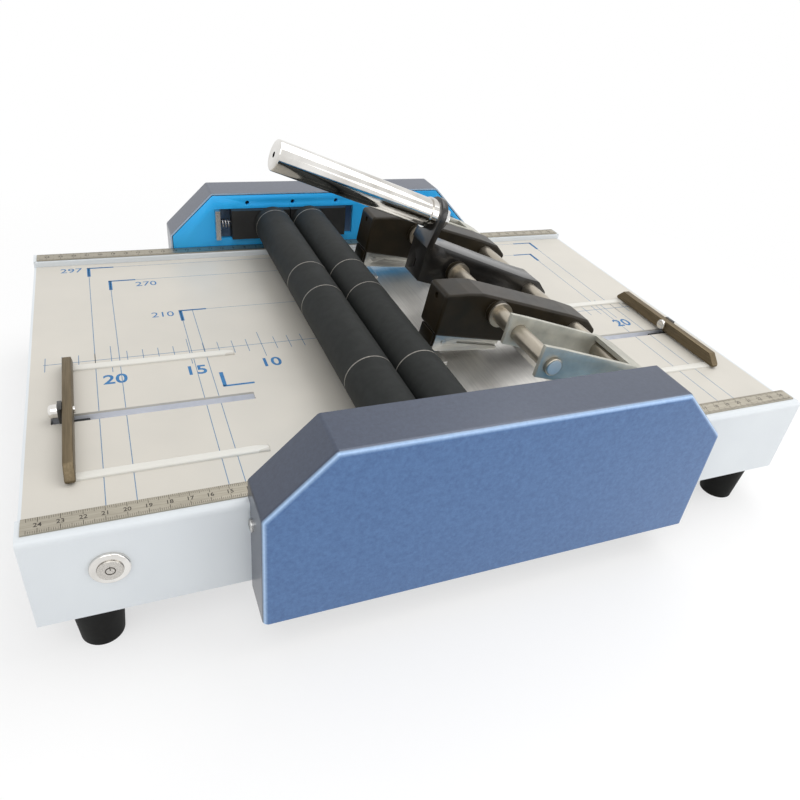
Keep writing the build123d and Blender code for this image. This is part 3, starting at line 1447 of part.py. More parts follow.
def handle_nut():
    nut_plane = handle_frame()
    hexagon = extrude(nut_plane * RegularPolygon(HANDLE_NUT_RADIUS, 6), amount=-HANDLE_NUT_HEIGHT)
    shift = Pos(nut_plane.z_dir * -LUG_THICKNESS)
    nut = shift * hexagon
    bore_start = -LUG_THICKNESS - HANDLE_NUT_HEIGHT - 1
    return raised(nut - along_handle(HANDLE_STUD_RADIUS, bore_start, 0))


def return_spring():
    """Wound return spring beside the rear side plate, with one leg along the plate."""
    y0 = PLATE_OUT_Y
    y1 = y0 + RETURN_SPRING_LENGTH
    coil = rod_y(PIVOT_X, PIVOT_Z, RETURN_SPRING_RADIUS, y0, y1)
    inner = RETURN_SPRING_RADIUS - RETURN_SPRING_WALL
    leg = box(
        PIVOT_X - RETURN_SPRING_LEG,
        PIVOT_X,
        y0,
        y0 + RETURN_SPRING_WALL,
        PIVOT_Z - RETURN_SPRING_RADIUS,
        PIVOT_Z - inner,
    )
    return coil + leg - rod_y(PIVOT_X, PIVOT_Z, inner, y0 - 1, y1 + 1)


# Electrics
def power_button_body():
    y_face = -OUTER_Y
    ring = rod_y(BUTTON_X, BUTTON_Z, BUTTON_RING_RADIUS, y_face - BUTTON_RING_HEIGHT, y_face)
    ring = fillet(ring.edges().sort_by(Axis.Y)[0], BUTTON_RING_HEIGHT / 2)
    barrel = rod_y(BUTTON_X, BUTTON_Z, BUTTON_BARREL_RADIUS, y_face, y_face + BUTTON_BARREL_LENGTH)
    nut = rod_y(BUTTON_X, BUTTON_Z, BUTTON_RING_RADIUS, -PLATE_OUT_Y, -PLATE_OUT_Y + BUTTON_RING_HEIGHT)
    depth = y_face + BUTTON_CAP_DEPTH + BUTTON_TRAVEL
    bore = rod_y(BUTTON_X, BUTTON_Z, BUTTON_CAP_RADIUS + BUTTON_PLAY, y_face - BUTTON_CAP_DEPTH, depth)
    return ring + barrel + nut - bore


def power_button_cap():
    y0 = -OUTER_Y - BUTTON_RING_HEIGHT - BUTTON_CAP_PROUD
    cap = rod_y(BUTTON_X, BUTTON_Z, BUTTON_CAP_RADIUS, y0, -OUTER_Y + BUTTON_CAP_DEPTH - FACE_GAP)
    return fillet(cap.edges().sort_by(Axis.Y)[0], 0.5)


def mains_inlet():
    half_x = INLET_WIDTH / 2
    half_z = INLET_HEIGHT / 2
    face_y = OUTER_Y
    body = box(
        INLET_X - half_x, INLET_X + half_x, face_y - INLET_DEPTH, face_y, INLET_Z - half_z, INLET_Z + half_z
    )
    flange = box(
        INLET_X - half_x - INLET_FLANGE,
        INLET_X + half_x + INLET_FLANGE,
        face_y,
        face_y + INLET_FLANGE_THICKNESS,
        INLET_Z - half_z - INLET_FLANGE / 2,
        INLET_Z + half_z + INLET_FLANGE / 2,
    )
    floor_y = face_y - INLET_DEPTH + INLET_WALL
    cavity = box(
        INLET_X - half_x + INLET_WALL,
        INLET_X + half_x - INLET_WALL,
        floor_y,
        face_y + INLET_FLANGE_THICKNESS + 1,
        INLET_Z - half_z + INLET_WALL,
        INLET_Z + half_z - INLET_WALL,
    )
    inlet = body + flange - cavity
    for place in (-1, 0, 1):
        pin_x = INLET_X + place * INLET_PIN_PITCH
        pin_z = INLET_Z + (INLET_PIN_STEP if place == 0 else -INLET_PIN_STEP)
        inlet += rod_y(pin_x, pin_z, INLET_PIN_RADIUS, floor_y, face_y - INLET_WALL)
    return inlet


def control_board():
    z0 = FLOOR_TOP + STANDOFF_HEIGHT
    half_x = BOARD_LENGTH / 2
    half_y = BOARD_WIDTH / 2
    board = box(
        BOARD_X - half_x, BOARD_X + half_x, BOARD_Y - half_y, BOARD_Y + half_y, z0, z0 + BOARD_THICKNESS
    )
    top = z0 + BOARD_THICKNESS
    for x in (-1, 1):
        for y in (-1, 1):
            post_x = BOARD_X + x * (half_x - 2 * STANDOFF_RADIUS)
            post_y = BOARD_Y + y * (half_y - 2 * STANDOFF_RADIUS)
            board += rod_z(post_x, post_y, STANDOFF_RADIUS, FLOOR_TOP, z0)
    board += part_on_board(TRANSFORMER_X, TRANSFORMER_LENGTH, TRANSFORMER_WIDTH, TRANSFORMER_HEIGHT, top)
    board += part_on_board(RELAY_X, RELAY_LENGTH, RELAY_LENGTH, RELAY_HEIGHT, top)
    capacitor_x = BOARD_X + CAPACITOR_X
    capacitor_y = BOARD_Y + CAPACITOR_Y
    return board + rod_z(capacitor_x, capacitor_y, CAPACITOR_RADIUS, top, top + CAPACITOR_HEIGHT)


def part_on_board(x, length, width, height, top):
    middle = BOARD_X + x
    x0 = middle - length / 2
    x1 = middle + length / 2
    return box(x0, x1, BOARD_Y - width / 2, BOARD_Y + width / 2, top, top + height)


def write(name, shape):
    export_step(shape, f"parts/{name}.step")


write("base_pan", base_pan())
write("front_panel", front_panel())
write("rear_panel", rear_panel())
write("left_end_panel", end_panel(-1))
write("right_end_panel", end_panel(1))
write("left_table", left_table())
write("right_table", right_table())
write("polished_plate", polished_plate())
write("rulers", rulers())
write("rubber_feet", rubber_feet())
write("foot_screws", foot_screws())
write("front_side_plate", front_side_plate())
write("rear_side_plate", rear(side_plate()))
write("front_cover", front_cover())
write("rear_cover", rear(front_cover()))
write("casing_brackets", casing_brackets())
write("cover_screws", cover_screws())
write("slot_channels", group([left_side(slot_channel(LEFT_STOP_Y)), slot_channel(RIGHT_STOP_Y)]))
write("left_stop_bar", left_side(stop_bar(LEFT_STOP_Y)))
write("right_stop_bar", stop_bar(RIGHT_STOP_Y))
write("left_stop_slider", left_side(stop_slider(LEFT_STOP_Y)))
write("right_stop_slider", stop_slider(RIGHT_STOP_Y))
write("left_stop_screw", left_side(stop_screw(LEFT_STOP_Y, True)))
write("right_stop_screw", stop_screw(RIGHT_STOP_Y, False))
write("left_roller_core", roller_core(LEFT_ROLLER_X, ROLLER_GEAR_IN + ROLLER_GEAR_WIDTH))
write("right_roller_core", roller_core(RIGHT_ROLLER_X, ROLLER_SHAFT_END))
write("left_roller_rubber", roller_rubber(LEFT_ROLLER_X))
write("right_roller_rubber", roller_rubber(RIGHT_ROLLER_X))
write("left_bearing_blocks", left_bearing_blocks())
write("right_bearing_blocks", right_bearing_blocks())
write("spring_seats", spring_seats())
write("roller_springs", roller_springs())
write("left_roller_gear", left_roller_gear())
write("right_roller_gear", right_roller_gear())
write("drive_gear", drive_gear())
write("motor_gear", motor_gear())
write("drive_motor", drive_motor())
write("fold_blade", fold_blade())
write("blade_carrier", blade_carrier())
write("blade_guide_posts", blade_guide_posts())
write("blade_rack", blade_rack())
write("lift_pinion", lift_pinion())
write("lift_motor", lift_motor())
write("pivot_shaft", pivot_shaft())
write("press_shaft", press_shaft())
write("front_swing_arm", swing_arm(FRONT_ARM_Y, FRONT_ARM_WIDTH))
write("rear_swing_arm", swing_arm(REAR_ARM_Y, REAR_ARM_WIDTH))
write("front_head_housing", head_housing(FRONT_HEAD_Y))
write("rear_head_housing", head_housing(REAR_HEAD_Y))
write("head_magazines", group([head_magazine(FRONT_HEAD_Y), head_magazine(REAR_HEAD_Y)]))
write("head_plates", group([head_plate(FRONT_HEAD_Y), head_plate(REAR_HEAD_Y)]))
write("anvils", anvils())
write("handle_lever", handle_lever())
write("handle_tube", handle_tube())
write("handle_nut", handle_nut())
write("return_spring", return_spring())
write("power_button_body", power_button_body())
write("power_button_cap", power_button_cap())
write("mains_inlet", mains_inlet())
write("control_board", control_board())
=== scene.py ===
"""Looks of the creasing machine: finishes for its metal, rubber and plastic parts, the printed
sheet marks and rulers, softened edges, a plain floor and studio light."""

import json
import math

import bpy
from mathutils import Matrix, Vector


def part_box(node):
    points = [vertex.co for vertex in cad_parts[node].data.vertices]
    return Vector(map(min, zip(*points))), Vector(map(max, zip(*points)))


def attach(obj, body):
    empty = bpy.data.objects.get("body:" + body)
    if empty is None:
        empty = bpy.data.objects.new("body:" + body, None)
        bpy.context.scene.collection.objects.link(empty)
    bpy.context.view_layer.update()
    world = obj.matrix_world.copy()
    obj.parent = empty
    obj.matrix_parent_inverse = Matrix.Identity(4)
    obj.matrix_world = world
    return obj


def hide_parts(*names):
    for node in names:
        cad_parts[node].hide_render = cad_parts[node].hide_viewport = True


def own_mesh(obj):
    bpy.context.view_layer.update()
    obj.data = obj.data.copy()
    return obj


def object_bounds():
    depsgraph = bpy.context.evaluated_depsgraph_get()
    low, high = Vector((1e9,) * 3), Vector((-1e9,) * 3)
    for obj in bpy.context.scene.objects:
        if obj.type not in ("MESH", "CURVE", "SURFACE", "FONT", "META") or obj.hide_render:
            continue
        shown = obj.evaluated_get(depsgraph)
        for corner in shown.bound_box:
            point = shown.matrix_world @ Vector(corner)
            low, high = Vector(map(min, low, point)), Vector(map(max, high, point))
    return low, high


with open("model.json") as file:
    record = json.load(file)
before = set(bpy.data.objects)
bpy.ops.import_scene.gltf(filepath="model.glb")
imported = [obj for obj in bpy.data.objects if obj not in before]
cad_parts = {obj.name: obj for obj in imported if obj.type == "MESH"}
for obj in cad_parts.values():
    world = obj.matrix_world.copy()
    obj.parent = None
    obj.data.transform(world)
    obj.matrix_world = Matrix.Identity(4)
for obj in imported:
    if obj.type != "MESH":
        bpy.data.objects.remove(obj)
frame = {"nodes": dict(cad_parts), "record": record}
cad_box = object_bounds()
nodes = frame["nodes"]
bodies = frame["record"]["behaviour"]["bodies"]
slot_of = {part["node"]: part["material_slot"] for part in frame["record"]["subparts"]}
body_of = {node: body for body, members in bodies.items() for node in members}

MM = 0.001

# Camera, worked out from the ruler and the sheet marks
CAMERA_PLACE = Vector((-190.7, -434.4, 336.0)) * MM
CAMERA_YAW = math.radians(25.43)
CAMERA_PITCH = math.radians(33.99)
CAMERA_ROLL = math.radians(6.89)
FOCAL_PIXELS = 695.4
PICTURE_PIXELS = 800.0
SENSOR_WIDTH = 36.0

# Printed marks
INK_HEIGHT = 0.05 * MM
THIN_LINE = 0.45 * MM
CORNER_LINE = 1.8 * MM
CORNER_SIDE_LINE = 2.5 * MM
CORNER_DOWN = 16 * MM
CORNER_ALONG = 19 * MM
SHEET_SIZES = ((210.0, 297.0, "297"), (195.0, 270.0, "270"), (148.5, 210.0, "210"))
HALF_LETTER = 139.7
SMALL_CORNER = (134.0, 101.0)
SCALE_LINE_DEPTH = 149.5
SCALE_TICK = 8.5
SCALE_LONG_TICK = 17.0
SCALE_FIRST = 7
SCALE_LAST = 24
NUMERAL_DEPTH = 123.5
NUMERAL_SIZE = 15 * MM
NUMERAL_BOLD = 0.28 * MM
NUMERAL_SHIFT = 1.0
LEFT_NUMERALS = (10, 15, 20)
RIGHT_NUMERALS = (20,)
LABEL_SIZE = 11 * MM
LABEL_SHIFTS = ((13.0, -3.0), (-26.5, -9.0), (13.0, -4.0))

# Roller rings, pressed ribs, shaft sleeves and power symbol
RING_PLACES = (-102.0, -2.5, 38.0, 149.0)
RING_WIDTH = 0.9 * MM
RING_PROUD = 0.06 * MM
STOP_Y = {-1: -66.0, 1: -48.0}
SLOT_HALF = 4.1
RIB_OFFSET = 55.0
RIB_INNER_X = 121.0
RIB_OUTER_X = 228.0
RIB_WIDTH = 6.1 * MM
RIB_HEIGHT = 1.5 * MM
RIB_TAPER = 7 * MM
RIB_TIP = 0.4
RIB_ROUND = 1.0 * MM
COLLAR_FACES = (-59.5, 8.0, 86.5)
COLLAR_RADIUS = 9 * MM
BOSS_PROUD = 0.12 * MM
BOSS_LENGTH = 4.6 * MM
BOSS_ROUND = 0.5 * MM
PIN_RADIUS = 5 * MM
PIN_FACE = 0.8 * MM
PIN_SUNK = 0.3
PIN_ROUND = 0.4
SYMBOL_RADIUS = 2.3 * MM
SYMBOL_LINE = 0.5 * MM

# Rulers
RULER_WIDTH = 11 * MM
RULER_TICKS = ((1, 1.7, 0.16), (5, 2.5, 0.2), (10, 3.3, 0.24))
RULER_REACH = 245
RULER_EDGE = 0.2 * MM
RULER_LAST = 24
RULER_NUMBER_SIZE = 3.9 * MM
RULER_NUMBER_BOLD = 0.05 * MM

# Floor, world and lamps
FLOOR_SIZE = 60
FLOOR_DROP = 0.02 * MM
SHADOW_GLOW = 0.6
SHADOW_REACH = (0.3, 0.65)
WORLD_LEVEL = 0.62
LAMP_TARGET = Vector((0, 0, 0.08))
LAMPS = (
    ("key_light", (-0.5, -1.0, 1.6), 1.6, 8),
    ("top_light", (0.7, 0.2, 1.5), 1.6, 12),
    ("fill_light", (1.4, -1.2, 0.5), 1.2, 5),
)

plate_low, plate_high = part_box("polished_plate")
TABLE_TOP = plate_high.z
NEAR_EDGE = plate_low.y
LEFT_TABLE_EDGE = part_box("left_table")[1].x
RIGHT_TABLE_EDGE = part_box("right_table")[0].x


# Small helpers for modelling
def deselect():
    bpy.ops.object.select_all(action="DESELECT")


def pick(piece):
    deselect()
    piece.select_set(True)
    bpy.context.view_layer.objects.active = piece


def settle(piece, name):
    """Name the piece and put its place into its mesh."""
    pick(piece)
    bpy.ops.object.transform_apply(location=True, rotation=True, scale=True)
    piece.name = name
    piece.data.name = name
    return piece


def apply_modifiers(piece):
    pick(piece)
    for modifier in list(piece.modifiers):
        bpy.ops.object.modifier_apply(modifier=modifier.name)


def rounded_off(piece, width, segments):
    """Bevel the piece's edges and shade it smooth between them."""
    bevel = piece.modifiers.new("rounded", "BEVEL")
    bevel.width = width
    bevel.segments = segments
    bevel.limit_method = "ANGLE"
    apply_modifiers(piece)
    bpy.ops.object.shade_smooth_by_angle(angle=math.radians(40))


def disc_across(radius, depth, x, y, z, sides):
    """Round disc or sleeve with its axis along Y."""
    bpy.ops.mesh.primitive_cylinder_add(
        vertices=sides,
        radius=radius,
        depth=depth,
        location=(x, y, z),
        rotation=(math.pi / 2, 0, 0),
    )
    return bpy.context.object


def joined(pieces, name):
    deselect()
    for piece in pieces:
        piece.select_set(True)
    bpy.context.view_layer.objects.active = pieces[0]
    bpy.ops.object.join()
    return settle(bpy.context.object, name)


def dress(piece, material, body="base"):
    piece.data.materials.clear()
    piece.data.materials.append(material)
    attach(piece, body)
    return piece


def ink_bar(x0, x1, y0, y1, z):
    """Thin raised strip of ink from corner to corner."""
    bpy.ops.mesh.primitive_plane_add(size=1, location=((x0 + x1) / 2, (y0 + y1) / 2, z))
    bar = bpy.context.object
    bar.scale = (abs(x1 - x0), abs(y1 - y0), 1)
    settle(bar, "ink")
    wall = bar.modifiers.new("thickness", "SOLIDIFY")
    wall.thickness = INK_HEIGHT
    wall.offset = 1
    apply_modifiers(bar)
    return bar


def ink_text(words, x, y, z, size, bolder=0.0):
    bpy.ops.object.text_add(location=(x, y, z))
    text = bpy.context.object
    text.data.body = words
    text.data.size = size
    text.data.offset = bolder
    text.data.extrude = INK_HEIGHT / 2
    text.data.align_x = "CENTER"
    text.data.align_y = "CENTER"
    text.data.resolution_u = 4
    pick(text)
    bpy.ops.object.convert(target="MESH")
    return settle(bpy.context.object, "numeral")


# Material helpers
def srgb(red, green, blue):
    """Colour given as it looks, from 0 to 255, made linear for the shader."""
    linear = []
    for value in (red, green, blue):
        part = value / 255
        linear.append(part / 12.92 if part <= 0.04045 else ((part + 0.055) / 1.055) ** 2.4)
    return (*linear, 1.0)


class Finish:
    """A material on object coordinates, built up from noise, colour and bump."""

    def __init__(self, name, roughness, metallic=0.0):
        self.material = bpy.data.materials.new(name)
        self.material.use_nodes = True
        self.tree = self.material.node_tree
        self.shader = self.tree.nodes["Principled BSDF"]
        self.shader.inputs["Roughness"].default_value = roughness
        self.shader.inputs["Metallic"].default_value = metallic
        self.coordinates = self.tree.nodes.new("ShaderNodeTexCoord")

    def join(self, out, into):
        self.tree.links.new(out, into)

    def noise(self, size, stretch=(1, 1, 1), detail=4.0, rough=0.55):
        """Noise whose features are about the given size in millimetres."""
        place = self.tree.nodes.new("ShaderNodeMapping")
        place.inputs["Scale"].default_value = stretch
        self.join(self.coordinates.outputs["Object"], place.inputs["Vector"])
        noise = self.tree.nodes.new("ShaderNodeTexNoise")
        noise.inputs["Scale"].default_value = 1000 / size
        noise.inputs["Detail"].default_value = detail
        noise.inputs["Roughness"].default_value = rough
        self.join(place.outputs["Vector"], noise.inputs["Vector"])
        return noise.outputs["Fac"]

    def cells(self, size):
        place = self.tree.nodes.new("ShaderNodeTexVoronoi")
        place.feature = "SMOOTH_F1"
        place.inputs["Scale"].default_value = 1000 / size
        self.join(self.coordinates.outputs["Object"], place.inputs["Vector"])
        return place.outputs["Distance"]

    def ramp(self, factor, *stops):
        """Colours at their places along the factor, blended in between."""
        ramp = self.tree.nodes.new("ShaderNodeValToRGB")
        points = ramp.color_ramp.elements
        points[0].position, points[0].color = stops[0]
        points[1].position, points[1].color = stops[-1]
        for position, colour in stops[1:-1]:
            points.new(position).color = colour
        self.join(factor, ramp.inputs["Fac"])
        return ramp.outputs["Color"]

    def colour(self, factor, low, high, start=0.35, end=0.65):
        self.join(self.ramp(factor, (start, low), (end, high)), self.shader.inputs["Base Color"])

    def maths(self, operation, *inputs):
        """Math node fed with sockets or with plain numbers."""
        node = self.tree.nodes.new("ShaderNodeMath")
        node.operation = operation
        for place, value in enumerate(inputs):
            if isinstance(value, (int, float)):
                node.inputs[place].default_value = value
            else:
                self.join(value, node.inputs[place])
        return node.outputs["Value"]

    def mixed(self, factor, first, second):
        """Two colours, given as sockets or as plain colours, mixed by the factor."""
        blend = self.tree.nodes.new("ShaderNodeMix")
        blend.data_type = "RGBA"
        self.join(factor, blend.inputs["Factor"])
        for place, value in (("A", first), ("B", second)):
            if isinstance(value, tuple):
                blend.inputs[place].default_value = value
            else:
                self.join(value, blend.inputs[place])
        return blend.outputs["Result"]

    def across(self, output):
        """How far the place, or the way the surface faces, is along Y."""
        split = self.tree.nodes.new("ShaderNodeSeparateXYZ")
        self.join(self.coordinates.outputs[output], split.inputs["Vector"])
        return split.outputs["Y"]

    def gloss(self, factor, low, high):
        spread = self.tree.nodes.new("ShaderNodeMapRange")
        spread.inputs["To Min"].default_value = low
        spread.inputs["To Max"].default_value = high
        self.join(factor, spread.inputs["Value"])
        self.join(spread.outputs["Result"], self.shader.inputs["Roughness"])

    def bump(self, height, depth, strength=0.3):
        bump = self.tree.nodes.new("ShaderNodeBump")
        bump.inputs["Strength"].default_value = strength
        bump.inputs["Distance"].default_value = depth * MM
        self.join(height, bump.inputs["Height"])
        self.join(bump.outputs["Normal"], self.shader.inputs["Normal"])

    def coat(self, weight, roughness):
        self.shader.inputs["Coat Weight"].default_value = weight
        self.shader.inputs["Coat Roughness"].default_value = roughness


def powder_coat(name, light, dark, roughness):
    """Stoved paint with a faint orange peel."""
    finish = Finish(name, roughness)
    finish.colour(finish.noise(45, detail=2.0), dark, light, 0.2, 0.8)
    finish.bump(finish.noise(1.1, detail=1.0), 0.05, 0.25)
    finish.gloss(finish.noise(12), roughness - 0.05, roughness + 0.08)
    return finish.material


def hammer_enamel(name):
    """Metallic blue enamel, hammered, with painted shade in slate on its top and end faces, a painted
    highlight along its bends and a painted highlight on its cut edge.
    """
    finish = Finish(name, 0.36, 0.35)
    grain = finish.noise(2.4, detail=4.0, rough=0.75)
    facing = finish.across("Normal")
    frontal = finish.maths("ABSOLUTE", facing)
    # Painted shade and painted highlight by facing: slate where the surface faces up or to the ends,
    # light blue along the bends, blue on the front and back faces
    dark_grains, light_grains = (
        finish.ramp(frontal, (0.3, painted_shade), (0.72, bend_highlight), (0.985, blue))
        for painted_shade, bend_highlight, blue in (
            (srgb(50, 58, 76), srgb(158, 192, 234), srgb(54, 90, 140)),
            (srgb(63, 73, 93), srgb(186, 214, 246), srgb(82, 122, 172)),
        )
    )
    grains = finish.ramp(grain, (0.22, (0, 0, 0, 1)), (0.78, (1, 1, 1, 1)))
    faces = finish.mixed(grains, dark_grains, light_grains)
    # The sheet's cut edge gets a painted highlight in pale blue. It faces the middle of the machine, so
    # facing and place differ in sign
    turned_in = finish.maths("MULTIPLY", facing, finish.across("Object"))
    cut_edge_highlight = finish.maths("LESS_THAN", turned_in, -0.05)
    highlighted = finish.mixed(cut_edge_highlight, faces, srgb(176, 200, 226))
    finish.join(highlighted, finish.shader.inputs["Base Color"])
    finish.bump(finish.cells(1.5), 0.06, 0.2)
    finish.coat(0.45, 0.18)
    return finish.material


def brushed(name, light, dark, roughness, stretch, grain=0.6):
    """Drawn or ground metal with its grain along one way."""
    finish = Finish(name, roughness, 1.0)
    grain_noise = finish.noise(grain, stretch, detail=3.0)
    finish.colour(grain_noise, dark, light)
    finish.gloss(finish.noise(9), roughness - 0.06, roughness + 0.1)
    finish.bump(grain_noise, 0.01, 0.2)
    return finish.material


def plated(name, light, dark, roughness, patch=14.0, metallic=0.9):
    """Zinc plate with soft cloudy patches."""
    finish = Finish(name, roughness, metallic)
    finish.colour(finish.noise(patch, detail=3.0), dark, light, 0.3, 0.7)
    finish.gloss(finish.noise(3), roughness - 0.08, roughness + 0.12)
    finish.bump(finish.cells(1.4), 0.03, 0.2)
    return finish.material


def chrome(name):
    finish = Finish(name, 0.09, 1.0)
    finish.colour(finish.noise(30), srgb(196, 192, 186), srgb(232, 230, 226))
    finish.gloss(finish.noise(1.2), 0.05, 0.13)
    return finish.material


def turned(name, light, dark, roughness):
    """Ground bar with a soft sheen and no visible grain."""
    finish = Finish(name, roughness, 0.85)
    finish.colour(finish.noise(14, detail=2.0), dark, light)
    finish.gloss(finish.noise(6, detail=2.0), roughness - 0.04, roughness + 0.06)
    return finish.material


def rubber(name, light, dark, roughness, shine=0.22):
    finish = Finish(name, roughness)
    finish.shader.inputs["Specular IOR Level"].default_value = shine
    finish.colour(finish.noise(5), dark, light)
    finish.bump(finish.noise(0.5, detail=2.0), 0.04, 0.3)
    finish.gloss(finish.noise(16), roughness - 0.08, roughness + 0.06)
    return finish.material


def moulded(name, light, dark, roughness, coat=0.0, shine=0.5):
    finish = Finish(name, roughness)
    finish.shader.inputs["Specular IOR Level"].default_value = shine
    finish.colour(finish.noise(18), dark, light)
    finish.bump(finish.noise(0.7, detail=2.0), 0.03, 0.2)
    finish.gloss(finish.noise(7), roughness - 0.05, roughness + 0.07)
    if coat:
        finish.coat(coat, 0.08)
    return finish.material


def ink(name, light, dark):
    finish = Finish(name, 0.5)
    finish.colour(finish.noise(2.5), dark, light)
    finish.bump(finish.noise(0.6), 0.01, 0.1)
    return finish.material


ALONG_X = (0.04, 1, 1)
ALONG_Y = (1, 0.04, 1)
FINISHES = {
    "white_enamel": powder_coat("white_enamel", srgb(224, 229, 232), srgb(217, 222, 226), 0.3),
    "zinc_pan": plated("zinc_pan", srgb(190, 192, 194), srgb(150, 153, 157), 0.38),
    "table_enamel": powder_coat("table_enamel", srgb(212, 207, 197), srgb(204, 200, 191), 0.36),
    "polished_steel": brushed(
        "polished_steel", srgb(232, 230, 225), srgb(220, 218, 214), 0.42, ALONG_Y, 1.5
    ),
    "ruler_steel": brushed("ruler_steel", srgb(176, 170, 156), srgb(158, 152, 139), 0.42, ALONG_X),
    "foot_rubber": rubber("foot_rubber", srgb(27, 27, 26), srgb(21, 21, 20), 0.6, shine=0.1),
    "screw_steel": brushed("screw_steel", srgb(205, 205, 203), srgb(165, 165, 164), 0.25, (1, 1, 1)),
    # Painted light: this bright sky blue stands for the covers' metallic blue paint as it looks under
    # strong light, put into the colour of the inner side plates
    "sky_blue": powder_coat("sky_blue", srgb(50, 188, 255), srgb(44, 178, 255), 0.3),
    "hammer_blue": hammer_enamel("hammer_blue"),
    "channel_aluminium": plated(
        "channel_aluminium", srgb(238, 240, 245), srgb(222, 225, 232), 0.45, metallic=0.15
    ),
    "bronze_steel": brushed(
        "bronze_steel", srgb(118, 105, 84), srgb(102, 91, 72), 0.45, ALONG_Y, 0.9
    ),
    "black_steel": moulded("black_steel", srgb(34, 31, 28), srgb(20, 19, 18), 0.3, 0.3),
    "bright_chrome": chrome("bright_chrome"),
    "button_steel": brushed("button_steel", srgb(214, 210, 204), srgb(182, 178, 172), 0.22, (1, 1, 1)),
    "core_steel": brushed("core_steel", srgb(190, 190, 188), srgb(150, 150, 148), 0.3, (1, 0.2, 1)),
    "roller_rubber": rubber("roller_rubber", srgb(35, 37, 36), srgb(29, 31, 30), 0.66),
    "block_plastic": moulded("block_plastic", srgb(40, 40, 40), srgb(28, 28, 28), 0.45),
    "spring_steel": brushed("spring_steel", srgb(200, 200, 200), srgb(150, 150, 152), 0.25, (1, 1, 1)),
    "gear_steel": brushed("gear_steel", srgb(165, 165, 163), srgb(120, 120, 119), 0.35, (1, 0.1, 1)),
    "motor_metal": powder_coat("motor_metal", srgb(92, 94, 97), srgb(78, 80, 83), 0.4),
    "blade_steel": brushed("blade_steel", srgb(205, 205, 206), srgb(170, 171, 173), 0.2, ALONG_Y),
    "shaft_steel": turned("shaft_steel", srgb(178, 170, 156), srgb(170, 162, 148), 0.3),
    "zinc_arm": plated("zinc_arm", srgb(196, 194, 182), srgb(168, 167, 157), 0.4, metallic=0.3),
    "head_black": moulded("head_black", srgb(42, 35, 23), srgb(29, 25, 17), 0.36, shine=0.22),
    "magazine_steel": brushed("magazine_steel", srgb(196, 195, 190), srgb(178, 177, 172), 0.3, ALONG_X),
    "inlet_plastic": moulded("inlet_plastic", srgb(36, 36, 36), srgb(24, 24, 24), 0.4),
    "board_green": moulded("board_green", srgb(40, 96, 58), srgb(26, 74, 42), 0.45),
}
BLUE_INK = ink("blue_ink", srgb(42, 120, 174), srgb(28, 100, 156))
LINE_INK = ink("line_ink", srgb(104, 140, 172), srgb(86, 121, 157))
BLACK_INK = ink("black_ink", srgb(62, 54, 44), srgb(44, 38, 32))
RIB_ENAMEL = powder_coat("rib_enamel", srgb(227, 225, 217), srgb(220, 218, 211), 0.34)
PIN_END = plated("pin_end", srgb(206, 208, 206), srgb(184, 186, 184), 0.45, metallic=0.2)
RING_BAND = ink("ring_band", srgb(150, 146, 138), srgb(118, 114, 108))

for node, piece in nodes.items():
    for slot in piece.material_slots:
        slot.material = FINISHES[slot_of[node]]
    if not piece.material_slots:
        piece.data.materials.append(FINISHES[slot_of[node]])


# Copies of nodes: the roller springs, and softened sheet-metal and moulded pieces
def copied(node, name):
    """Copy of a node with its loose triangles merged."""
    piece = nodes[node].copy()
    piece.data = nodes[node].data.copy()
    for key in list(piece.keys()):
        del piece[key]
    piece.parent = None
    bpy.context.scene.collection.objects.link(piece)
    piece.name = name
    pick(piece)
    bpy.ops.object.mode_set(mode="EDIT")
    bpy.ops.mesh.select_all(action="SELECT")
    bpy.ops.mesh.remove_doubles(threshold=0.002 * MM)
    bpy.ops.mesh.dissolve_limited(angle_limit=math.radians(1.0))
    bpy.ops.mesh.normals_make_consistent(inside=False)
    bpy.ops.object.mode_set(mode="OBJECT")
    return piece


def springs_that_give():
    """Smooth-shaded copy of the roller springs, dressed in spring steel and shown in their place."""
    piece = copied("roller_springs", "roller_springs_pressed")
    bpy.ops.object.shade_smooth_by_angle(angle=math.radians(35))
    dress(piece, FINISHES["spring_steel"], body_of["roller_springs"])
    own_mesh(piece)
    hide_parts("roller_springs")


def softened(node, width):
    """Copy of a node with its sharp edges rounded, shown in the node's place."""
    piece = copied(node, node + "_softened")
    edges = piece.modifiers.new("edges", "BEVEL")
    edges.width = width * MM
    edges.segments = 2
    edges.limit_method = "ANGLE"
    edges.angle_limit = math.radians(32)
    apply_modifiers(piece)
    bpy.ops.object.shade_smooth_by_angle(angle=math.radians(35))
    dress(piece, FINISHES[slot_of[node]], body_of[node])
    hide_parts(node)
    return piece


SOFTENED = {
    "left_stop_bar": 0.5,
    "right_stop_bar": 0.5,
    "left_stop_slider": 0.3,
    "right_stop_slider": 0.3,
    "front_swing_arm": 0.4,
    "rear_swing_arm": 0.4,
    "handle_lever": 0.7,
    "head_magazines": 0.3,
    "head_plates": 0.3,
    "anvils": 0.25,
    "front_side_plate": 0.3,
    "rear_side_plate": 0.3,
}
for node, width in SOFTENED.items():
    softened(node, width)
springs_that_give()


# Printed marks on the tables
def from_near_edge(depth):
    return NEAR_EDGE + depth * MM


def table_line(x0, x1, depth0, depth1, side, width):
    """Line on the table between two places, with X counted outward from the middle."""
    y0 = from_near_edge(depth0)
    y1 = from_near_edge(depth1)
    left = min(side * x0, side * x1) * MM
    right = max(side * x0, side * x1) * MM
    if x0 == x1:
        left -= width / 2
        right += width / 2
    else:
        y0 -= width / 2
        y1 += width / 2
    return ink_bar(left, right, y0, y1, TABLE_TOP)


def inner_edge(side):
    return -LEFT_TABLE_EDGE / MM + 1 if side < 0 else RIGHT_TABLE_EDGE / MM + 1


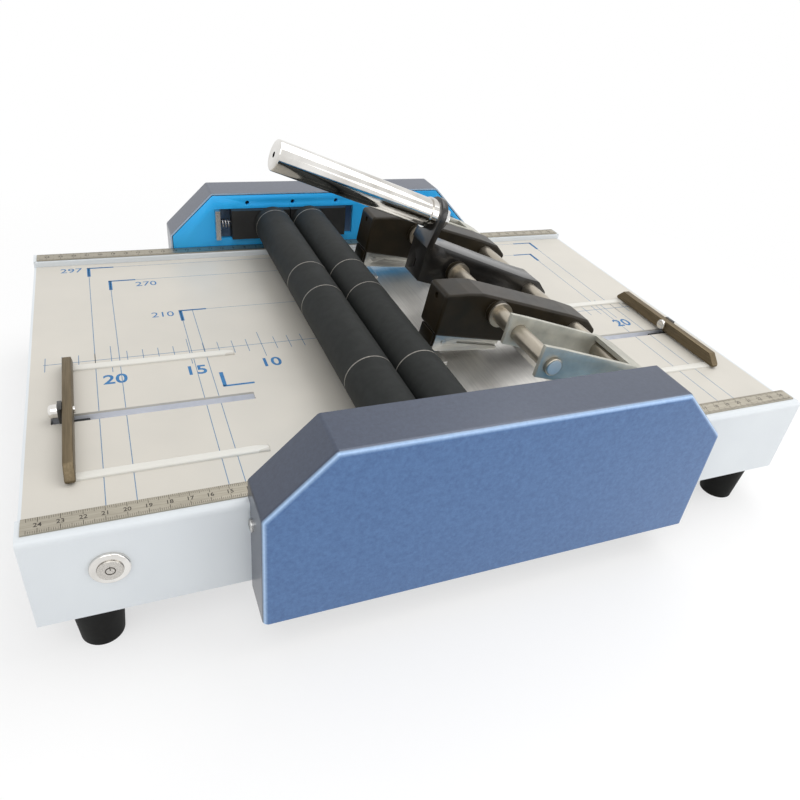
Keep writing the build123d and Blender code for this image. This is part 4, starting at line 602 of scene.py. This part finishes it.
def line_past_slot(reach, depth, side):
    """Line up the sheet's side, with a break where it meets the slot of the paper stop."""
    slot = (STOP_Y[side] * MM - NEAR_EDGE) / MM
    near_part = table_line(reach, reach, 1, slot - SLOT_HALF, side, THIN_LINE)
    far_part = table_line(reach, reach, slot + SLOT_HALF, depth, side, THIN_LINE)
    return [near_part, far_part]


def sheet_lines(side):
    lines = []
    inside = inner_edge(side)
    for reach, depth, _label in SHEET_SIZES:
        lines += line_past_slot(reach, depth, side)
        lines.append(table_line(inside, reach, depth, depth, side, THIN_LINE * 0.7))
    letter_depth = SHEET_SIZES[-1][1]
    lines += line_past_slot(HALF_LETTER, letter_depth, side)
    lines.append(table_line(inside, RULER_REACH - 4, SCALE_LINE_DEPTH, SCALE_LINE_DEPTH, side, THIN_LINE))
    for centimetre in range(SCALE_FIRST, SCALE_LAST + 1):
        reach = centimetre * 10
        if reach < inside + 2:
            continue
        half = SCALE_LONG_TICK if centimetre % 5 == 0 else SCALE_TICK
        low = SCALE_LINE_DEPTH - half
        lines.append(table_line(reach, reach, low, SCALE_LINE_DEPTH + half, side, THIN_LINE))
    return lines


def corner_mark(reach, depth, side, down, along):
    """Thick bracket: one arm across the sheet's end and one along its side."""
    half = CORNER_SIDE_LINE / MM / 2
    arm_along = table_line(reach - along / MM, reach + half, depth, depth, side, CORNER_LINE)
    arm_down = table_line(reach, reach, depth, depth - down / MM, side, CORNER_SIDE_LINE)
    return [arm_along, arm_down]


def corner_marks(side):
    marks = []
    for reach, depth, _label in SHEET_SIZES:
        marks += corner_mark(reach, depth, side, CORNER_DOWN, CORNER_ALONG)
    reach, depth = SMALL_CORNER
    marks += corner_mark(reach, depth, side, -1.05 * CORNER_DOWN, CORNER_ALONG)
    return marks


def table_numbers(side):
    numbers = []
    for centimetre in RIGHT_NUMERALS if side > 0 else LEFT_NUMERALS:
        x = side * (centimetre * 10 - NUMERAL_SHIFT) * MM
        y = from_near_edge(NUMERAL_DEPTH)
        numbers.append(ink_text(str(centimetre), x, y, TABLE_TOP, NUMERAL_SIZE, NUMERAL_BOLD))
    if side > 0:
        return numbers
    for (reach, depth, label), (shift, drop) in zip(SHEET_SIZES, LABEL_SHIFTS):
        x = side * (reach + shift) * MM
        numbers.append(ink_text(label, x, from_near_edge(depth + drop), TABLE_TOP, LABEL_SIZE))
    return numbers


left_lines = joined(sheet_lines(-1), "left_table_lines")
right_lines = joined(sheet_lines(1), "right_table_lines")
for piece in (left_lines, right_lines):
    dress(piece, LINE_INK)
left_marks = joined(corner_marks(-1) + table_numbers(-1), "left_table_marks")
right_marks = joined(corner_marks(1) + table_numbers(1), "right_table_marks")
for piece in (left_marks, right_marks):
    dress(piece, BLUE_INK)


# Light joint rings round the rollers, painted tops of the pressed ribs, and the power symbol
def roller_rings(roller, body):
    low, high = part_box(roller)
    rings = []
    for y in RING_PLACES:
        radius = (high.x - low.x) / 2 + RING_PROUD
        x, z = (low.x + high.x) / 2, (low.z + high.z) / 2
        rings.append(disc_across(radius, RING_WIDTH, x, y * MM, z, 96))
    piece = dress(joined(rings, roller + "_rings"), RING_BAND, body)


roller_rings("left_roller_rubber", "left_roller")
roller_rings("right_roller_rubber", "right_roller")


def shaft_bosses():
    """Black sleeves over the collars of the press shaft, with a light rim of steel left bare."""
    low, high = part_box("press_shaft")
    sleeves = []
    for face in COLLAR_FACES:
        x, z = (low.x + high.x) / 2, (low.z + high.z) / 2
        y = face * MM - BOSS_LENGTH / 2
        sleeve = settle(disc_across(COLLAR_RADIUS + BOSS_PROUD, BOSS_LENGTH, x, y, z, 64), "sleeve")
        rounded_off(sleeve, BOSS_ROUND, 2)
        sleeves.append(sleeve)
    piece = dress(joined(sleeves, "shaft_bosses"), FINISHES["head_black"], body_of["press_shaft"])


shaft_bosses()


def pin_end():
    """Bright zinc face on the near end of the press shaft."""
    low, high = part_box("press_shaft")
    x, z = (low.x + high.x) / 2, (low.z + high.z) / 2
    y = low.y + PIN_SUNK * PIN_FACE
    face = settle(disc_across(PIN_RADIUS, PIN_FACE, x, y, z, 64), "pin_end")
    rounded_off(face, PIN_ROUND * PIN_FACE, 3)
    dress(face, PIN_END, body_of["press_shaft"])


pin_end()


def taper_inner_end(rib, side, y):
    """Narrow the last few millimetres of a rib at the end nearer the rollers."""
    inner_x = side * RIB_INNER_X * MM
    pick(rib)
    bpy.ops.object.mode_set(mode="EDIT")
    bpy.ops.mesh.select_all(action="SELECT")
    bpy.ops.mesh.bisect(plane_co=(inner_x + side * RIB_TAPER, 0, 0), plane_no=(1, 0, 0))
    bpy.ops.mesh.select_all(action="DESELECT")
    bpy.ops.object.mode_set(mode="OBJECT")
    for point in rib.data.vertices:
        point.select = abs(point.co.x - inner_x) < 0.1 * MM
    bpy.ops.object.mode_set(mode="EDIT")
    bpy.ops.transform.resize(value=(1, RIB_TIP, 1), center_override=(inner_x, y, TABLE_TOP))
    bpy.ops.object.mode_set(mode="OBJECT")


def painted_ribs(table, side):
    """Rounded white skin over the two pressed ribs beside a paper stop."""
    stop_y = STOP_Y[side]
    ribs = []
    for offset in (-RIB_OFFSET, RIB_OFFSET):
        middle = side * (RIB_INNER_X + RIB_OUTER_X) / 2 * MM
        bpy.ops.mesh.primitive_cube_add(size=1, location=(middle, (stop_y + offset) * MM, TABLE_TOP))
        rib = bpy.context.object
        rib.scale = ((RIB_OUTER_X - RIB_INNER_X) * MM, RIB_WIDTH, 2 * RIB_HEIGHT)
        settle(rib, "rib")
        taper_inner_end(rib, side, (stop_y + offset) * MM)
        rounded_off(rib, RIB_ROUND, 4)
        ribs.append(rib)
    piece = dress(joined(ribs, table + "_ribs"), RIB_ENAMEL)


painted_ribs("left_table", -1)
painted_ribs("right_table", 1)


def power_symbol():
    """Broken ring with a short stroke through its gap, on the front of the button's cap."""
    low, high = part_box("power_button_cap")
    middle = Vector(((low.x + high.x) / 2, low.y - 0.02 * MM, (low.z + high.z) / 2))
    bpy.ops.curve.primitive_bezier_circle_add(
        radius=SYMBOL_RADIUS, location=middle, rotation=(math.pi / 2, -math.pi / 2, 0)
    )
    ring = bpy.context.object
    ring.data.bevel_depth = SYMBOL_LINE / 2
    ring.data.bevel_factor_start = 0.1
    ring.data.bevel_factor_end = 0.9
    bpy.ops.object.convert(target="MESH")
    ring = settle(bpy.context.object, "ring")
    bpy.ops.mesh.primitive_cylinder_add(
        vertices=16,
        radius=SYMBOL_LINE / 2,
        depth=SYMBOL_RADIUS,
        location=middle + Vector((0, 0, SYMBOL_RADIUS * 0.75)),
    )
    stroke = bpy.context.object
    piece = dress(joined([ring, stroke], "power_symbol"), BLACK_INK, "power_button")


power_symbol()


# Graduations of the two rulers
def ruler_ticks(y, inward, pitch, length, width):
    """One row of ticks along a ruler's edge, copied along X by an array."""
    first = -(RULER_REACH // pitch) * pitch
    count = -2 * first // pitch + 1
    x = first * MM
    y1 = y + inward * length * MM
    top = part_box("rulers")[1].z
    tick = ink_bar(x - width * MM / 2, x + width * MM / 2, min(y, y1), max(y, y1), top)
    row = tick.modifiers.new("row", "ARRAY")
    row.use_relative_offset = False
    row.use_constant_offset = True
    row.constant_offset_displace = (pitch * MM, 0, 0)
    row.count = count
    apply_modifiers(tick)
    return tick


def ruler_marks(y_low, name):
    marks = []
    for pitch, length, width in RULER_TICKS:
        marks.append(ruler_ticks(y_low + RULER_EDGE, 1, pitch, length, width))
        marks.append(ruler_ticks(y_low + RULER_WIDTH - RULER_EDGE, -1, pitch, length, width))
    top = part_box("rulers")[1].z
    middle = y_low + RULER_WIDTH / 2
    for centimetre in range(-RULER_LAST, RULER_LAST + 1):
        x = centimetre * 10 * MM
        number = str(abs(centimetre))
        marks.append(ink_text(number, x, middle, top, RULER_NUMBER_SIZE, RULER_NUMBER_BOLD))
    piece = dress(joined(marks, name), BLACK_INK)


ruler_low, ruler_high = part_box("rulers")
ruler_marks(ruler_low.y, "near_ruler_marks")
ruler_marks(ruler_high.y - RULER_WIDTH, "far_ruler_marks")


# Floor, light and camera
def pale_floor():
    """Pale floor that glows white far off and for reflections, and keeps the machine's shadow."""
    below = cad_box[0].z - FLOOR_DROP
    bpy.ops.mesh.primitive_plane_add(size=FLOOR_SIZE, location=(0, 0, below))
    floor = settle(bpy.context.object, "floor")
    finish = Finish("floor_white", 0.7)
    finish.colour(finish.noise(900), srgb(247, 247, 247), srgb(252, 252, 252))
    tree = finish.tree
    rays = tree.nodes.new("ShaderNodeLightPath")
    seen = finish.maths("MAXIMUM", rays.outputs["Is Camera Ray"], rays.outputs["Is Glossy Ray"])
    away = tree.nodes.new("ShaderNodeVectorMath")
    away.operation = "LENGTH"
    finish.join(finish.coordinates.outputs["Object"], away.inputs[0])
    fade = tree.nodes.new("ShaderNodeMapRange")
    fade.inputs["From Min"].default_value = SHADOW_REACH[0]
    fade.inputs["From Max"].default_value = SHADOW_REACH[1]
    fade.inputs["To Min"].default_value = SHADOW_GLOW
    fade.inputs["To Max"].default_value = 1.0
    finish.join(away.outputs["Value"], fade.inputs["Value"])
    share = finish.maths("MULTIPLY", seen, fade.outputs["Result"])
    glow = tree.nodes.new("ShaderNodeEmission")
    glow.inputs["Color"].default_value = (1, 1, 1, 1)
    blend = tree.nodes.new("ShaderNodeMixShader")
    finish.join(share, blend.inputs["Fac"])
    finish.join(finish.shader.outputs["BSDF"], blend.inputs[1])
    finish.join(glow.outputs["Emission"], blend.inputs[2])
    finish.join(blend.outputs["Shader"], tree.nodes["Material Output"].inputs["Surface"])
    floor.data.materials.append(finish.material)


def white_world(level):
    """Plain soft light all round, with a white background for the camera and for reflections."""
    world = bpy.data.worlds.new("studio")
    bpy.context.scene.world = world
    world.use_nodes = True
    tree = world.node_tree
    background = tree.nodes["Background"]
    rays = tree.nodes.new("ShaderNodeLightPath")
    camera_or_glossy = tree.nodes.new("ShaderNodeMath")
    camera_or_glossy.operation = "MAXIMUM"
    tree.links.new(rays.outputs["Is Camera Ray"], camera_or_glossy.inputs[0])
    tree.links.new(rays.outputs["Is Glossy Ray"], camera_or_glossy.inputs[1])
    seen = tree.nodes.new("ShaderNodeMath")
    seen.operation = "MAXIMUM"
    tree.links.new(camera_or_glossy.outputs["Value"], seen.inputs[0])
    tree.links.new(rays.outputs["Is Transmission Ray"], seen.inputs[1])
    strength = tree.nodes.new("ShaderNodeMapRange")
    strength.inputs["To Min"].default_value = level
    strength.inputs["To Max"].default_value = 1.0
    tree.links.new(seen.outputs["Value"], strength.inputs["Value"])
    background.inputs["Color"].default_value = (1, 1, 1, 1)
    tree.links.new(strength.outputs["Result"], background.inputs["Strength"])


def softbox(name, place, size, power):
    """Large lamp that faces the middle of the machine."""
    bpy.ops.object.light_add(type="AREA", location=place)
    lamp = bpy.context.object
    lamp.name = name
    lamp.data.shape = "RECTANGLE"
    lamp.data.size = size
    lamp.data.size_y = size * 0.7
    lamp.data.energy = power
    toward = LAMP_TARGET - Vector(place)
    lamp.rotation_euler = toward.to_track_quat("-Z", "Y").to_euler()


def photo_camera():
    data = bpy.data.cameras.new("photo_camera")
    camera = bpy.data.objects.new("photo_camera", data)
    bpy.context.scene.collection.objects.link(camera)
    data.sensor_width = SENSOR_WIDTH
    data.lens = FOCAL_PIXELS / PICTURE_PIXELS * SENSOR_WIDTH
    data.clip_start = 0.01
    turn = Matrix.Rotation(-CAMERA_YAW, 4, "Z")
    nod = Matrix.Rotation(math.pi / 2 - CAMERA_PITCH, 4, "X")
    lean = Matrix.Rotation(CAMERA_ROLL, 4, "Z")
    camera.matrix_world = Matrix.Translation(CAMERA_PLACE) @ turn @ nod @ lean
    bpy.context.scene.camera = camera


pale_floor()
white_world(WORLD_LEVEL)
for lamp in LAMPS:
    softbox(*lamp)
photo_camera()
bpy.context.scene.view_settings.view_transform = "Standard"
